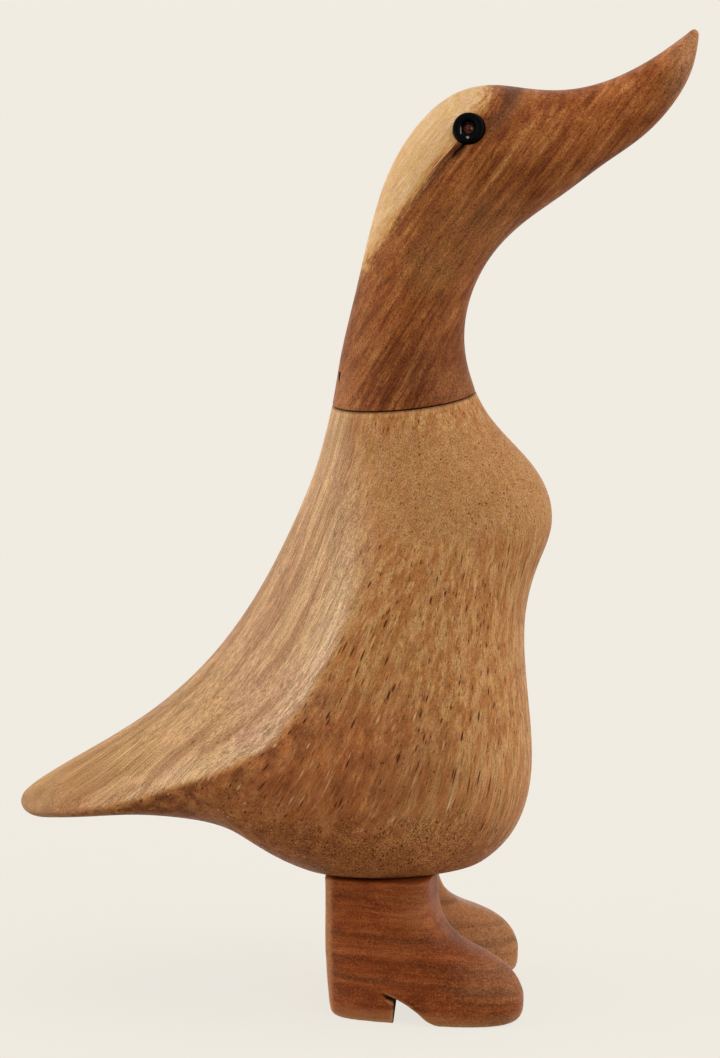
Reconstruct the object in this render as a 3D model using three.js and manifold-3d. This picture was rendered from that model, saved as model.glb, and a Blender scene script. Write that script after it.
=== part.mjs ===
// A carved wooden duck that stands upright on two boots, bill raised.
// Millimetres, +Z up, the duck faces +X and its right side faces -Y.
// The origin is on the floor between the boots, at the middle of the bounding box.
// Six pieces: the root-wood body, the two-tone head with its neck, two boots and two bead eyes.
import * as THREE from 'three';
import { mergeVertices } from 'three/addons/utils/BufferGeometryUtils.js';
import Module from 'manifold-3d';

const wasm = await Module();
wasm.setup();

// ---------------------------------------------------------------- driving sizes
const GLUE_GAP = 0.3;          // glue line between touching pieces
const BOOT_TOP = 38.2;         // height of each boot
const BELLY_FLAT = BOOT_TOP + GLUE_GAP; // sawn flat under the belly that the boots are glued to
const NECK_RADIUS = 18.8;      // where neck and body meet
const BODY_HALF_WIDTH = 42.0;  // at the flanks
const HEAD_HALF_WIDTH = 17.6;  // at the cheeks
const BILL_HALF_WIDTH = 9.3;   // halfway along the bill
const TAIL_HALF_WIDTH = 19.0;  // near the end of the tail
const BOOT_HALF_WIDTH = 11.0;  // boot shaft
const BOOT_HEEL = 12.75;        // back of the shaft behind the boot's own axis
const BOOT_TOE = 39.9;         // toe cap ahead of the boot's own axis
const STANCE_X = 5.5;          // boot axes ahead of the origin
const STANCE_Y = 16.9;         // boot axes left and right of the middle
const TOE_OUT = THREE.MathUtils.degToRad(14.0);
const HEEL_LENGTH = 20.2;      // heel block, back to front
const ARCH_HEIGHT = 6.7;       // sawn arch between heel and sole
const SAW_KERF = 0.95;         // the saw ran on into the heel by SAW_OVERCUT
const SAW_OVERCUT = 3.1;
const SAW_SKEW = THREE.MathUtils.degToRad(11.5);   // how far the arch's saw cut is out of square with the boot
const EYE_RADIUS = 4.25;
const EYE_HOLE_RADIUS = 2.1;   // the dished hole in the bead
const EYE_PROUD = 0.95;        // how far the bead stands out of its seat
const EYE_DEPTH = 2.3;         // how deep it is let in
const EYE_AT = new THREE.Vector3(29.3, -15.35, 236.65);
const EYE_AXIS = new THREE.Vector3(-0.12, -0.92, 0.37).normalize();

// mesh fineness
const BODY_RINGS = 46, BODY_SIDE = 20;
const HEAD_RINGS = 38, HEAD_SIDE = 16;
const BOOT_AROUND = 36;

// Middle-plane outlines [x, z], from the neck joint to the tail tip and from the neck joint to the bill tip.
const TAIL_TIP = [-89.8, 53.4];
const BACK_LINE = [[-6.2, 161.0], [-7.0, 157.5], [-8.4, 151.8], [-9.9, 146.3], [-15.6, 131.4], [-25.4, 111.7], [-36.6, 95.3],
  [-53.9, 78.5], [-71.2, 67.5], [-83.0, 60.5], [-87.9, 56.9], TAIL_TIP];
const FRONT_LINE = [[31.7, 164.8], [33.5, 161.1], [39.3, 153.3], [49.9, 140.1], [52.1, 130.0], [48.7, 119.0], [45.3, 105.6], [45.3, 90.6],
  [46.7, 75.5], [46.7, 59.0], [42.1, 46.0], [31.0, 36.4], [13.4, 31.3], [-4.6, 33.7], [-18.1, 39.8], [-27.7, 46.5],
  [-43.6, 51.2], [-63.2, 52.1], [-81.3, 49.8], [-88.2, 50.8], TAIL_TIP];
const BILL_TIP = [88.5, 260.7];
const NAPE_LINE = [[-6.2, 161.0], [-5.3, 166.2], [-4.1, 173.4], [-0.4, 189.7], [3.7, 207.3], [9.2, 224.2], [17.4, 236.8],
  [26.7, 244.0], [35.8, 245.9], [45.8, 244.9], [54.8, 244.7], [65.2, 246.9], [73.7, 250.7], [79.6, 254.3], [84.6, 258.0],
  [86.9, 259.85], [87.8, 260.5], BILL_TIP];
const THROAT_LINE = [[31.7, 164.8], [29.3, 173.1], [28.8, 182.5], [30.8, 191.7], [36.6, 202.3], [44.0, 209.8], [54.4, 217.4],
  [65.7, 225.9], [75.5, 233.1], [82.0, 240.0], [85.8, 245.8], [88.1, 251.2], [89.2, 256.2], [89.5, 258.7], [89.3, 260.1], BILL_TIP];

// Body cross sections. Each section runs from the back line to the front line.
// t, place on the back line, place on the front line, half width, widest place (0 back .. 1 front), roundness behind, roundness
// in front, then the sanded back facet: place of its side ridge, half width there, crown, softness of the ridge.
const BODY_TABLE = [
  [0.00, 0.000, 0.000, NECK_RADIUS, 0.50, 2.0, 2.0, 0.26, 60.0, 1.0, 0.04],
  [0.10, 0.090, 0.105, 25.2, 0.50, 2.0, 2.0, 0.20, 31.0, 1.0, 0.08],
  [0.22, 0.210, 0.235, 33.0, 0.52, 2.05, 2.05, 0.254, 29.6, 0.90, 0.08],
  [0.36, 0.345, 0.375, 38.5, 0.50, 2.2, 2.1, 0.254, 34.4, 0.70, 0.07],
  [0.50, 0.470, 0.510, BODY_HALF_WIDTH, 0.46, 2.3, 2.1, 0.241, 37.8, 0.60, 0.06],
  [0.62, 0.575, 0.620, BODY_HALF_WIDTH, 0.38, 2.3, 2.05, 0.255, 39.6, 0.55, 0.05],
  [0.74, 0.680, 0.725, 36.0, 0.37, 2.2, 2.15, 0.297, 35.0, 0.55, 0.05],
  [0.84, 0.790, 0.825, 26.5, 0.50, 2.1, 2.4, 0.476, 26.0, 0.60, 0.06],
  [0.92, 0.890, 0.905, TAIL_HALF_WIDTH, 0.66, 2.0, 2.6, 0.65, 18.8, 0.70, 0.08],
  [1.00, 1.000, 1.000, 13.5, 0.62, 2.0, 2.4, 0.62, 13.8, 0.90, 0.14],
];
// Head cross sections, from the neck joint over the crown to the bill tip: the first seven columns of the same kind.
const HEAD_TABLE = [
  [0.00, 0.000, 0.000, NECK_RADIUS, 0.50, 2.0, 2.0],
  [0.12, 0.120, 0.110, 15.9, 0.50, 2.0, 2.0],
  [0.25, 0.250, 0.220, 15.6, 0.50, 2.0, 2.0],
  [0.37, 0.370, 0.315, 16.8, 0.49, 2.1, 2.0],
  [0.48, 0.480, 0.400, HEAD_HALF_WIDTH, 0.46, 2.2, 2.0],
  [0.57, 0.575, 0.490, 17.2, 0.46, 2.25, 2.0],
  [0.66, 0.670, 0.600, 14.3, 0.48, 2.2, 2.1],
  [0.76, 0.770, 0.720, 10.8, 0.50, 2.2, 2.3],
  [0.86, 0.865, 0.830, BILL_HALF_WIDTH, 0.50, 2.2, 2.4],
  [0.94, 0.940, 0.920, 8.3, 0.50, 2.2, 2.4],
  [1.00, 1.000, 1.000, 7.4, 0.50, 2.2, 2.3],
];
// Boot levels, from the sole up: height, back, front, half width, roundness in front, at the back, widening to the front.
const BOOT_TABLE = [
  [0.0, -9.8, 37.5, 10.9, 2.5, 4.5, 0.17],
  [0.35, -10.5, 38.3, 11.4, 2.5, 4.5, 0.17],
  [1.1, -11.2, 39.2, 11.7, 2.5, 4.5, 0.17],
  [3.5, -11.7, 39.8, 11.8, 2.5, 4.5, 0.16],
  [6.5, -12.0, BOOT_TOE, 11.7, 2.5, 4.5, 0.14],
  [10.0, -12.3, 38.9, 11.6, 2.4, 4.5, 0.12],
  [13.0, -12.5, 36.8, 11.4, 2.4, 4.5, 0.10],
  [15.5, -12.6, 33.8, 11.3, 2.4, 4.5, 0.09],
  [17.5, -BOOT_HEEL, 30.0, 11.2, 2.5, 4.5, 0.07],
  [19.5, -BOOT_HEEL, 25.2, BOOT_HALF_WIDTH, 2.7, 4.5, 0.05],
  [22.0, -BOOT_HEEL, 21.2, BOOT_HALF_WIDTH, 3.1, 4.5, 0.02],
  [26.0, -BOOT_HEEL, 17.9, BOOT_HALF_WIDTH, 3.6, 4.5, 0.0],
  [31.0, -BOOT_HEEL, 16.2, BOOT_HALF_WIDTH, 4.0, 4.5, 0.0],
  [BOOT_TOP, -BOOT_HEEL, 15.6, BOOT_HALF_WIDTH, 4.4, 4.5, 0.0],
];
const BOOT_LEVELS = [0, 0.35, 1.1, 3.5, 6.5, 9.5, 12.0, 14.0, 15.7, 17.3, 18.9, 20.6, 22.6, 25.4, 30.0, BOOT_TOP];

// ---------------------------------------------------------------- curves
// natural cubic spline through values v at knots t
function cubic(t, v) {
  const n = t.length, h = t.slice(1).map((x, i) => x - t[i]);
  const c = new Array(n).fill(0), b = new Array(n).fill(1), d = new Array(n).fill(0);
  for (let i = 1; i < n - 1; i++) {
    b[i] = 2 * (h[i - 1] + h[i]); c[i] = h[i];
    d[i] = 6 * ((v[i + 1] - v[i]) / h[i] - (v[i] - v[i - 1]) / h[i - 1]);
    const m = (i > 1 ? h[i - 1] : 0) / b[i - 1];
    b[i] -= m * c[i - 1]; d[i] -= m * d[i - 1];
  }
  const M = new Array(n).fill(0);
  for (let i = n - 2; i > 0; i--) M[i] = (d[i] - c[i] * M[i + 1]) / b[i];
  return (x) => {
    let i = 0; while (i < n - 2 && x > t[i + 1]) i++;
    const A = (t[i + 1] - x) / h[i], B = (x - t[i]) / h[i];
    return A * v[i] + B * v[i + 1] + ((A ** 3 - A) * M[i] + (B ** 3 - B) * M[i + 1]) * h[i] * h[i] / 6;
  };
}
// piecewise cubic that never overshoots
function steady(t, v) {
  const n = t.length, h = [], s = [], m = new Array(n).fill(0);
  for (let i = 0; i < n - 1; i++) { h.push(t[i + 1] - t[i]); s.push((v[i + 1] - v[i]) / h[i]); }
  for (let i = 1; i < n - 1; i++) {
    if (s[i - 1] * s[i] > 0) {
      const w1 = 2 * h[i] + h[i - 1], w2 = h[i] + 2 * h[i - 1];
      m[i] = (w1 + w2) / (w1 / s[i - 1] + w2 / s[i]);
    }
  }
  const edge = (h0, h1, s0, s1) => {
    let d = ((2 * h0 + h1) * s0 - h0 * s1) / (h0 + h1);
    if (d * s0 <= 0) d = 0; else if (s0 * s1 <= 0 && Math.abs(d) > 3 * Math.abs(s0)) d = 3 * s0;
    return d;
  };
  m[0] = edge(h[0], h[1], s[0], s[1]); m[n - 1] = edge(h[n - 2], h[n - 3], s[n - 2], s[n - 3]);
  return (x) => {
    let i = 0; while (i < n - 2 && x > t[i + 1]) i++;
    const u = (x - t[i]) / h[i], u2 = u * u, u3 = u2 * u;
    return (2 * u3 - 3 * u2 + 1) * v[i] + (u3 - 2 * u2 + u) * h[i] * m[i] + (3 * u2 - 2 * u3) * v[i + 1] + (u3 - u2) * h[i] * m[i + 1];
  };
}
// smooth plane curve through points, run by its share of the length 0..1
function outline(points) {
  const s = [0];
  for (let i = 1; i < points.length; i++) s.push(s[i - 1] + Math.hypot(points[i][0] - points[i - 1][0], points[i][1] - points[i - 1][1]));
  const t = s.map((x) => x / s[s.length - 1]);
  const fx = cubic(t, points.map((p) => p[0])), fz = cubic(t, points.map((p) => p[1]));
  return (u) => [fx(u), fz(u)];
}
const columns = (table, steadyOnes) => table[0].slice(1).map((_, i) =>
  (i < steadyOnes ? steady : cubic)(table.map((r) => r[0]), table.map((r) => r[i + 1])));

// half width 0..1 of a rounded section, widest at sm
function rounded(s, sm, nBack, nFront) {
  if (s <= 0 || s >= 1) return 0;
  return s < sm ? (1 - ((sm - s) / sm) ** nBack) ** (1 / nBack) : (1 - ((s - sm) / (1 - sm)) ** nFront) ** (1 / nFront);
}
function softMin(a, b, k) {
  const h = Math.min(1, Math.max(0, 0.5 + 0.5 * (b - a) / k));
  return b * (1 - h) + a * h - k * h * (1 - h);
}

// right-hand half outline of one section, n points from back to front, even along the outline
function section(back, front, width, n) {
  const S = 240, pts = [], len = [0];
  for (let i = 0; i <= S; i++) {
    const s = (1 - Math.cos(Math.PI * i / S)) / 2;
    pts.push([s, i === 0 || i === S ? 0 : width(s)]);
  }
  const D = Math.hypot(front[0] - back[0], front[1] - back[1]);
  for (let i = 1; i <= S; i++) len.push(len[i - 1] + Math.hypot((pts[i][0] - pts[i - 1][0]) * D, pts[i][1] - pts[i - 1][1]));
  const out = [];
  for (let k = 0, i = 0; k < n; k++) {
    const L = len[S] * k / (n - 1);
    while (i < S - 1 && len[i + 1] < L) i++;
    const u = Math.min(1, Math.max(0, (L - len[i]) / (len[i + 1] - len[i] || 1)));
    const s = pts[i][0] + (pts[i + 1][0] - pts[i][0]) * u, w = k === 0 || k === n - 1 ? 0 : pts[i][1] + (pts[i + 1][1] - pts[i][1]) * u;
    out.push(new THREE.Vector3(back[0] + (front[0] - back[0]) * s, -w, back[1] + (front[1] - back[1]) * s));
  }
  return out;
}
// closed ring from a right-hand half
const mirrored = (half) => [...half, ...half.slice(1, -1).reverse().map((p) => new THREE.Vector3(p.x, -p.y, p.z))];

// closed skin over rings; each end is a fan to a point
function skin(rings, startPoint, endPoint) {
  const n = rings[0].length, pos = [], idx = [];
  for (const r of rings) for (const p of r) pos.push(p.x, p.y, p.z);
  pos.push(startPoint.x, startPoint.y, startPoint.z, endPoint.x, endPoint.y, endPoint.z);
  const a = rings.length * n, b = a + 1, last = (rings.length - 1) * n;
  for (let k = 0; k < n; k++) {
    const k2 = (k + 1) % n;
    for (let i = 0; i < rings.length - 1; i++) {
      const p = i * n + k, q = i * n + k2, r = p + n, s = q + n;
      idx.push(p, r, q, q, r, s);
    }
    idx.push(a, k, k2, b, last + k2, last + k);
  }
  const g = new THREE.BufferGeometry();
  g.setAttribute('position', new THREE.Float32BufferAttribute(pos, 3));
  g.setIndex(idx);
  let vol = 0; const A = new THREE.Vector3(), B = new THREE.Vector3(), C = new THREE.Vector3();
  for (let i = 0; i < idx.length; i += 3) {
    A.fromArray(pos, idx[i] * 3); B.fromArray(pos, idx[i + 1] * 3); C.fromArray(pos, idx[i + 2] * 3);
    vol += A.dot(B.cross(C));
  }
  if (vol < 0) for (let i = 0; i < idx.length; i += 3) [idx[i + 1], idx[i + 2]] = [idx[i + 2], idx[i + 1]];
  g.setIndex(idx);
  return g;
}
const middle = (ring) => ring.reduce((s, p) => s.add(p), new THREE.Vector3()).divideScalar(ring.length);

// ---------------------------------------------------------------- solids
function solid(geometry) {
  let g = geometry.clone();
  g.deleteAttribute('normal'); g.deleteAttribute('uv');
  g = mergeVertices(g, 1e-4);
  const mesh = new wasm.Mesh({ numProp: 3, vertProperties: new Float32Array(g.attributes.position.array), triVerts: new Uint32Array(g.index.array) });
  return new wasm.Manifold(mesh);
}
function surface(manifold) {
  const m = manifold.getMesh(), g = new THREE.BufferGeometry();
  const p = new Float32Array(m.numVert * 3);
  for (let i = 0; i < m.numVert; i++) for (let k = 0; k < 3; k++) p[i * 3 + k] = m.vertProperties[i * m.numProp + k];
  g.setAttribute('position', new THREE.BufferAttribute(p, 3));
  g.setIndex(new THREE.BufferAttribute(new Uint32Array(m.triVerts), 1));
  g.computeVertexNormals();
  return g;
}

// ---------------------------------------------------------------- body
function makeBody() {
  const B = outline(BACK_LINE), F = outline(FRONT_LINE), cols = columns(BODY_TABLE, 2), rings = [];
  for (let i = 0; i < BODY_RINGS; i++) {
    const t = 1 - (1 - i / BODY_RINGS) ** 1.25;
    const [b, f, W0, sm, n1, n2, rs, rw0, crown, soft] = cols.map((c) => c(t));
    const close = 1 - (Math.max(t - 0.90, 0) / 0.10) ** 2.2;   // plan of the tail tip
    const W = W0 * close, rw = rw0 * close;
    const width = (s) => {
      const flank = W * rounded(s, sm, n1, n2), q = s / rs;
      const facet = rw * Math.sqrt(q * (crown + (1 - crown) * q));
      return Math.max(0, softMin(flank, facet, soft * Math.min(1, 4 * s * (1 - s)) * W + 1e-6));
    };
    rings.push(mirrored(section(B(b), F(f), width, BODY_SIDE)));
  }
  const tip = new THREE.Vector3(TAIL_TIP[0], 0, TAIL_TIP[1]);
  let body = solid(skin(rings, middle(rings[0]), tip));
  const floor = new THREE.BoxGeometry(200, 200, 40);
  floor.translate(0, 0, BELLY_FLAT - 20);
  body = body.subtract(solid(floor));                            // sawn flat under the belly
  return surface(body);
}

// ---------------------------------------------------------------- head
const eyeTurn = (side) => new THREE.Quaternion().setFromUnitVectors(new THREE.Vector3(0, 1, 0),
  new THREE.Vector3(EYE_AXIS.x, EYE_AXIS.y * -side, EYE_AXIS.z));
const eyePlace = (side) => new THREE.Vector3(EYE_AT.x, EYE_AT.y * -side, EYE_AT.z);

function makeHead() {
  const B = outline(NAPE_LINE), F = outline(THROAT_LINE), cols = columns(HEAD_TABLE, 2), rings = [];
  for (let i = 0; i < HEAD_RINGS; i++) {
    const t = Math.max(0.0023, 1 - (1 - i / HEAD_RINGS) ** 1.2); // the first ring leaves the glue line free
    const [b, f, W0, sm, n1, n2] = cols.map((c) => c(t));
    const W = W0 * (1 - (Math.max(t - 0.90, 0) / 0.10) ** 2.2);  // plan of the bill tip
    rings.push(mirrored(section(B(b), F(f), (s) => W * rounded(s, sm, n1, n2), HEAD_SIDE)));
  }
  let head = solid(skin(rings, middle(rings[0]), new THREE.Vector3(BILL_TIP[0], 0, BILL_TIP[1])));
  for (const side of [-1, 1]) {                                  // drilled eye seats
    const seat = new THREE.CylinderGeometry(EYE_RADIUS + GLUE_GAP, EYE_RADIUS + GLUE_GAP, 10, 24);
    seat.translate(0, 5 - EYE_DEPTH - GLUE_GAP, 0);
    seat.applyQuaternion(eyeTurn(side));
    const at = eyePlace(side); seat.translate(at.x, at.y, at.z);
    head = head.subtract(solid(seat));
  }
  return surface(head);
}

// ---------------------------------------------------------------- boots
function makeBoot(side) {
  const cols = columns(BOOT_TABLE, 6), rings = [];
  for (const z of BOOT_LEVELS) {
    const [back, front, w, nf, nb, widen] = cols.map((c) => c(z));
    const mid = back + (front - back) * 0.42, ring = [];
    for (let k = 0; k < BOOT_AROUND; k++) {
      const a = 2 * Math.PI * k / BOOT_AROUND, c = Math.cos(a), s = Math.sin(a), n = c >= 0 ? nf : nb;
      const r = (Math.abs(c) ** n + Math.abs(s) ** n) ** (-1 / n), x = mid + (c >= 0 ? front - mid : mid - back) * c * r;
      ring.push(new THREE.Vector3(x, w * s * r * (1 + widen * (x - mid) / (front - back)), z));
    }
    rings.push(ring);
  }
  let boot = solid(skin(rings, new THREE.Vector3(3, 0, 0), new THREE.Vector3(3, 0, BOOT_TOP)));
  // sawn arch with the kerf that runs on into the heel
  const heelFront = -BOOT_HEEL + HEEL_LENGTH, arch = new THREE.Shape();
  arch.moveTo(heelFront - 0.1, -2);
  arch.lineTo(heelFront + 0.1, ARCH_HEIGHT - SAW_KERF);
  arch.lineTo(heelFront - SAW_OVERCUT, ARCH_HEIGHT + 0.55);
  arch.lineTo(heelFront - SAW_OVERCUT + 0.1, ARCH_HEIGHT + 0.55 + SAW_KERF);
  arch.lineTo(heelFront + 0.7, ARCH_HEIGHT);
  arch.quadraticCurveTo(heelFront + 5.2, ARCH_HEIGHT - 2.2, heelFront + 7.2, 2.6);
  arch.quadraticCurveTo(heelFront + 9.2, 0.55, heelFront + 12.0, 0.0);
  arch.lineTo(heelFront + 12.0, -2);
  arch.closePath();
  const cut = new THREE.ExtrudeGeometry(arch, { depth: 60, bevelEnabled: false, curveSegments: 5 });
  cut.rotateX(Math.PI / 2); cut.translate(0, 30, 0);             // profile upright, run across the boot
  cut.translate(-heelFront, -side * BOOT_HALF_WIDTH, 0);         // the saw ran a little askew, truest at the outer side
  cut.rotateZ(-side * SAW_SKEW);
  cut.translate(heelFront, side * BOOT_HALF_WIDTH, 0);
  boot = boot.subtract(solid(cut));
  const g = surface(boot);
  g.rotateZ(side * TOE_OUT);
  g.translate(STANCE_X, side * STANCE_Y, 0);
  return g;
}

// ---------------------------------------------------------------- eyes
function makeEye(side) {
  const R = EYE_RADIUS, r = EYE_HOLE_RADIUS, P = EYE_PROUD;
  const profile = [[0, -EYE_DEPTH], [R, -EYE_DEPTH], [R, 0.15]];
  for (let i = 1; i <= 4; i++) {                                 // rounded ring of the bead
    const a = Math.PI * i / 4, c = (R + r) / 2, h = (R - r) / 2;
    profile.push([c + h * Math.cos(a), 0.15 + (P - 0.15) * Math.sin(a)]);
  }
  profile.push([r * 0.9, -0.5], [r * 0.45, -0.42], [0, -0.3]);
  const g = new THREE.LatheGeometry(profile.map((p) => new THREE.Vector2(p[0], p[1])), 24);
  const s = surface(solid(g));
  s.applyQuaternion(eyeTurn(side));
  const at = eyePlace(side); s.translate(at.x, at.y, at.z);
  return s;
}

// ---------------------------------------------------------------- scene graph
const material = (color, roughness) => new THREE.MeshStandardMaterial({ color, roughness, metalness: 0 });
const duck = new THREE.Group();
function add(name, geometry, mat) { const m = new THREE.Mesh(geometry, mat); m.name = name; duck.add(m); }
add('body', makeBody(), material(0xb08253, 0.55));
add('head', makeHead(), material(0x8a5530, 0.5));
add('boot_right', makeBoot(-1), material(0x76401f, 0.5));
add('boot_left', makeBoot(1), material(0x7f4a28, 0.5));
add('eye_right', makeEye(-1), material(0x15120f, 0.3));
add('eye_left', makeEye(1), material(0x15120f, 0.3));

export default duck;
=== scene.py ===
"""A carved wooden duck standing on two boots, bill raised, in plain soft studio light.

Shapes are worked out in millimetres, +Z up, the duck facing +X with its right side towards -Y, and scaled to metres when a mesh
is made. The outlines and section tables are the ones that the solid pieces were lofted from, here run at a finer step, with the
softened rims, saw marks and small damage of the real carving."""
import bpy
import math
import numpy as np
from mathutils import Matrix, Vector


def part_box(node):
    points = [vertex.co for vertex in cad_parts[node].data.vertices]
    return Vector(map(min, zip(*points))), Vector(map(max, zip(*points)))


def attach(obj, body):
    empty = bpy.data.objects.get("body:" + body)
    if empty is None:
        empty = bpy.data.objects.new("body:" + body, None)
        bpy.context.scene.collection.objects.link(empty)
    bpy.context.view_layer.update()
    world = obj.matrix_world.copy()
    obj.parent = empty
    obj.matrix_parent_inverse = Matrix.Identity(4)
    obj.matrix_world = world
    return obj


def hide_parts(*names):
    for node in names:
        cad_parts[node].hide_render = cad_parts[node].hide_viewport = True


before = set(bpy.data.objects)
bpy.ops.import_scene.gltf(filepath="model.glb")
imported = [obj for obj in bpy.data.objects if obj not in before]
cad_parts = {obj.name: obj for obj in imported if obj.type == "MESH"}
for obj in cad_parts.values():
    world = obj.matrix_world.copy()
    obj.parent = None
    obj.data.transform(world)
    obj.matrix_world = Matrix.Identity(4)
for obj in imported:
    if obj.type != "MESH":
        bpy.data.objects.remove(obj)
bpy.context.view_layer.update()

# ---------------------------------------------------------------- driving sizes, mm
GLUE_GAP = 0.3
BOOT_TOP = 38.2
BELLY_FLAT = BOOT_TOP + GLUE_GAP
NECK_RADIUS = 18.8
BODY_HALF_WIDTH = 42.0
HEAD_HALF_WIDTH = 17.6
BILL_HALF_WIDTH = 9.3
TAIL_HALF_WIDTH = 19.0
BOOT_HALF_WIDTH = 11.0
BOOT_HEEL = 12.75
BOOT_TOE = 39.9
STANCE_X, STANCE_Y = 5.5, 16.9
TOE_OUT = math.radians(14.0)
HEEL_LENGTH = 20.2
ARCH_HEIGHT = 6.7
SAW_KERF = 0.95
SAW_OVERCUT = 3.1
SAW_SKEW = math.radians(11.5)
EYE_RADIUS = 4.25
EYE_HOLE_RADIUS = 2.1
EYE_PROUD = 0.95
EYE_DEPTH = 2.3
EYE_AT = np.array([29.3, -15.35, 236.65])
EYE_AXIS = np.array([-0.12, -0.92, 0.37]) / math.sqrt(0.12 ** 2 + 0.92 ** 2 + 0.37 ** 2)
RIM = 0.34                      # softened rims at the neck joint

# middle-plane outlines [x, z], from the neck joint to the tail tip and from the neck joint to the bill tip
TAIL_TIP = [-89.8, 53.4]
BACK_LINE = [[-6.2, 161.0], [-7.0, 157.5], [-8.4, 151.8], [-9.9, 146.3], [-15.6, 131.4], [-25.4, 111.7], [-36.6, 95.3],
             [-53.9, 78.5], [-71.2, 67.5], [-83.0, 60.5], [-87.9, 56.9], [-89.25, 55.25], TAIL_TIP]
FRONT_LINE = [[31.7, 164.8], [33.5, 161.1], [39.3, 153.3], [49.9, 140.1], [52.1, 130.0], [48.7, 119.0], [45.3, 105.6], [45.3, 90.6],
              [46.7, 75.5], [46.7, 59.0], [42.1, 46.0], [31.0, 36.4], [13.4, 31.3], [-4.6, 33.7], [-18.1, 39.8], [-27.7, 46.5],
              [-43.6, 51.2], [-63.2, 52.1], [-81.3, 49.8], [-87.9, 50.5], [-89.35, 51.95], TAIL_TIP]
BILL_TIP = [88.5, 260.7]
NAPE_LINE = [[-6.2, 161.0], [-5.3, 166.2], [-4.1, 173.4], [-0.4, 189.7], [3.7, 207.3], [9.2, 224.2], [17.4, 236.8],
             [26.7, 244.0], [35.8, 245.9], [45.8, 244.9], [54.8, 244.7], [65.2, 246.9], [73.7, 250.7], [79.6, 254.3], [84.6, 258.0],
             [86.9, 259.85], [87.8, 260.5], BILL_TIP]
THROAT_LINE = [[31.7, 164.8], [29.3, 173.1], [28.8, 182.5], [30.8, 191.7], [36.6, 202.3], [44.0, 209.8], [54.4, 217.4],
               [65.7, 225.9], [75.5, 233.1], [82.0, 240.0], [85.8, 245.8], [88.1, 251.2], [89.2, 256.2], [89.5, 258.7], [89.3, 260.1], BILL_TIP]

# t, place on the back line, place on the front line, half width, widest place (0 back .. 1 front), roundness behind, roundness
# in front, then the sanded back facet: place of its side ridge, half width there, crown, softness of the ridge
BODY_TABLE = [
    [0.00, 0.000, 0.000, NECK_RADIUS, 0.50, 2.0, 2.0, 0.26, 60.0, 1.0, 0.04],
    [0.10, 0.090, 0.105, 25.2, 0.50, 2.0, 2.0, 0.20, 31.0, 1.0, 0.08],
    [0.22, 0.210, 0.235, 33.0, 0.52, 2.05, 2.05, 0.254, 29.6, 0.90, 0.08],
    [0.36, 0.345, 0.375, 38.5, 0.50, 2.2, 2.1, 0.254, 34.4, 0.70, 0.07],
    [0.50, 0.470, 0.510, BODY_HALF_WIDTH, 0.46, 2.3, 2.1, 0.241, 37.8, 0.60, 0.06],
    [0.62, 0.575, 0.620, BODY_HALF_WIDTH, 0.38, 2.3, 2.05, 0.255, 39.6, 0.55, 0.05],
    [0.74, 0.680, 0.725, 36.0, 0.37, 2.2, 2.15, 0.297, 35.0, 0.55, 0.05],
    [0.84, 0.790, 0.825, 26.5, 0.50, 2.1, 2.4, 0.476, 26.0, 0.60, 0.06],
    [0.92, 0.890, 0.905, TAIL_HALF_WIDTH, 0.66, 2.0, 2.6, 0.65, 18.8, 0.70, 0.08],
    [1.00, 1.000, 1.000, 13.5, 0.62, 2.0, 2.4, 0.62, 13.8, 0.90, 0.14],
]
# where the sanded back's streaked wood ends and the mottled flank begins: t, place on the section
RIDGE_LINE = [[0.0, 0.080], [0.05, 0.107], [0.10, 0.131], [0.16, 0.182], [0.22, 0.247], [0.29, 0.263], [0.36, 0.254],
              [0.43, 0.240], [0.50, 0.241], [0.56, 0.252], [0.62, 0.255], [0.68, 0.264], [0.74, 0.297], [0.79, 0.370],
              [0.84, 0.476], [0.88, 0.581], [0.92, 0.655], [1.0, 0.655]]
HEAD_TABLE = [
    [0.00, 0.000, 0.000, NECK_RADIUS, 0.50, 2.0, 2.0],
    [0.12, 0.120, 0.110, 15.9, 0.50, 2.0, 2.0],
    [0.25, 0.250, 0.220, 15.6, 0.50, 2.0, 2.0],
    [0.37, 0.370, 0.315, 16.8, 0.49, 2.1, 2.0],
    [0.48, 0.480, 0.400, HEAD_HALF_WIDTH, 0.46, 2.2, 2.0],
    [0.57, 0.575, 0.490, 17.2, 0.46, 2.25, 2.0],
    [0.66, 0.670, 0.600, 14.3, 0.48, 2.2, 2.1],
    [0.76, 0.770, 0.720, 10.8, 0.50, 2.2, 2.3],
    [0.86, 0.865, 0.830, BILL_HALF_WIDTH, 0.50, 2.2, 2.4],
    [0.94, 0.940, 0.920, 8.3, 0.50, 2.2, 2.4],
    [1.00, 1.000, 1.000, 7.4, 0.50, 2.2, 2.3],
]
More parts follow.
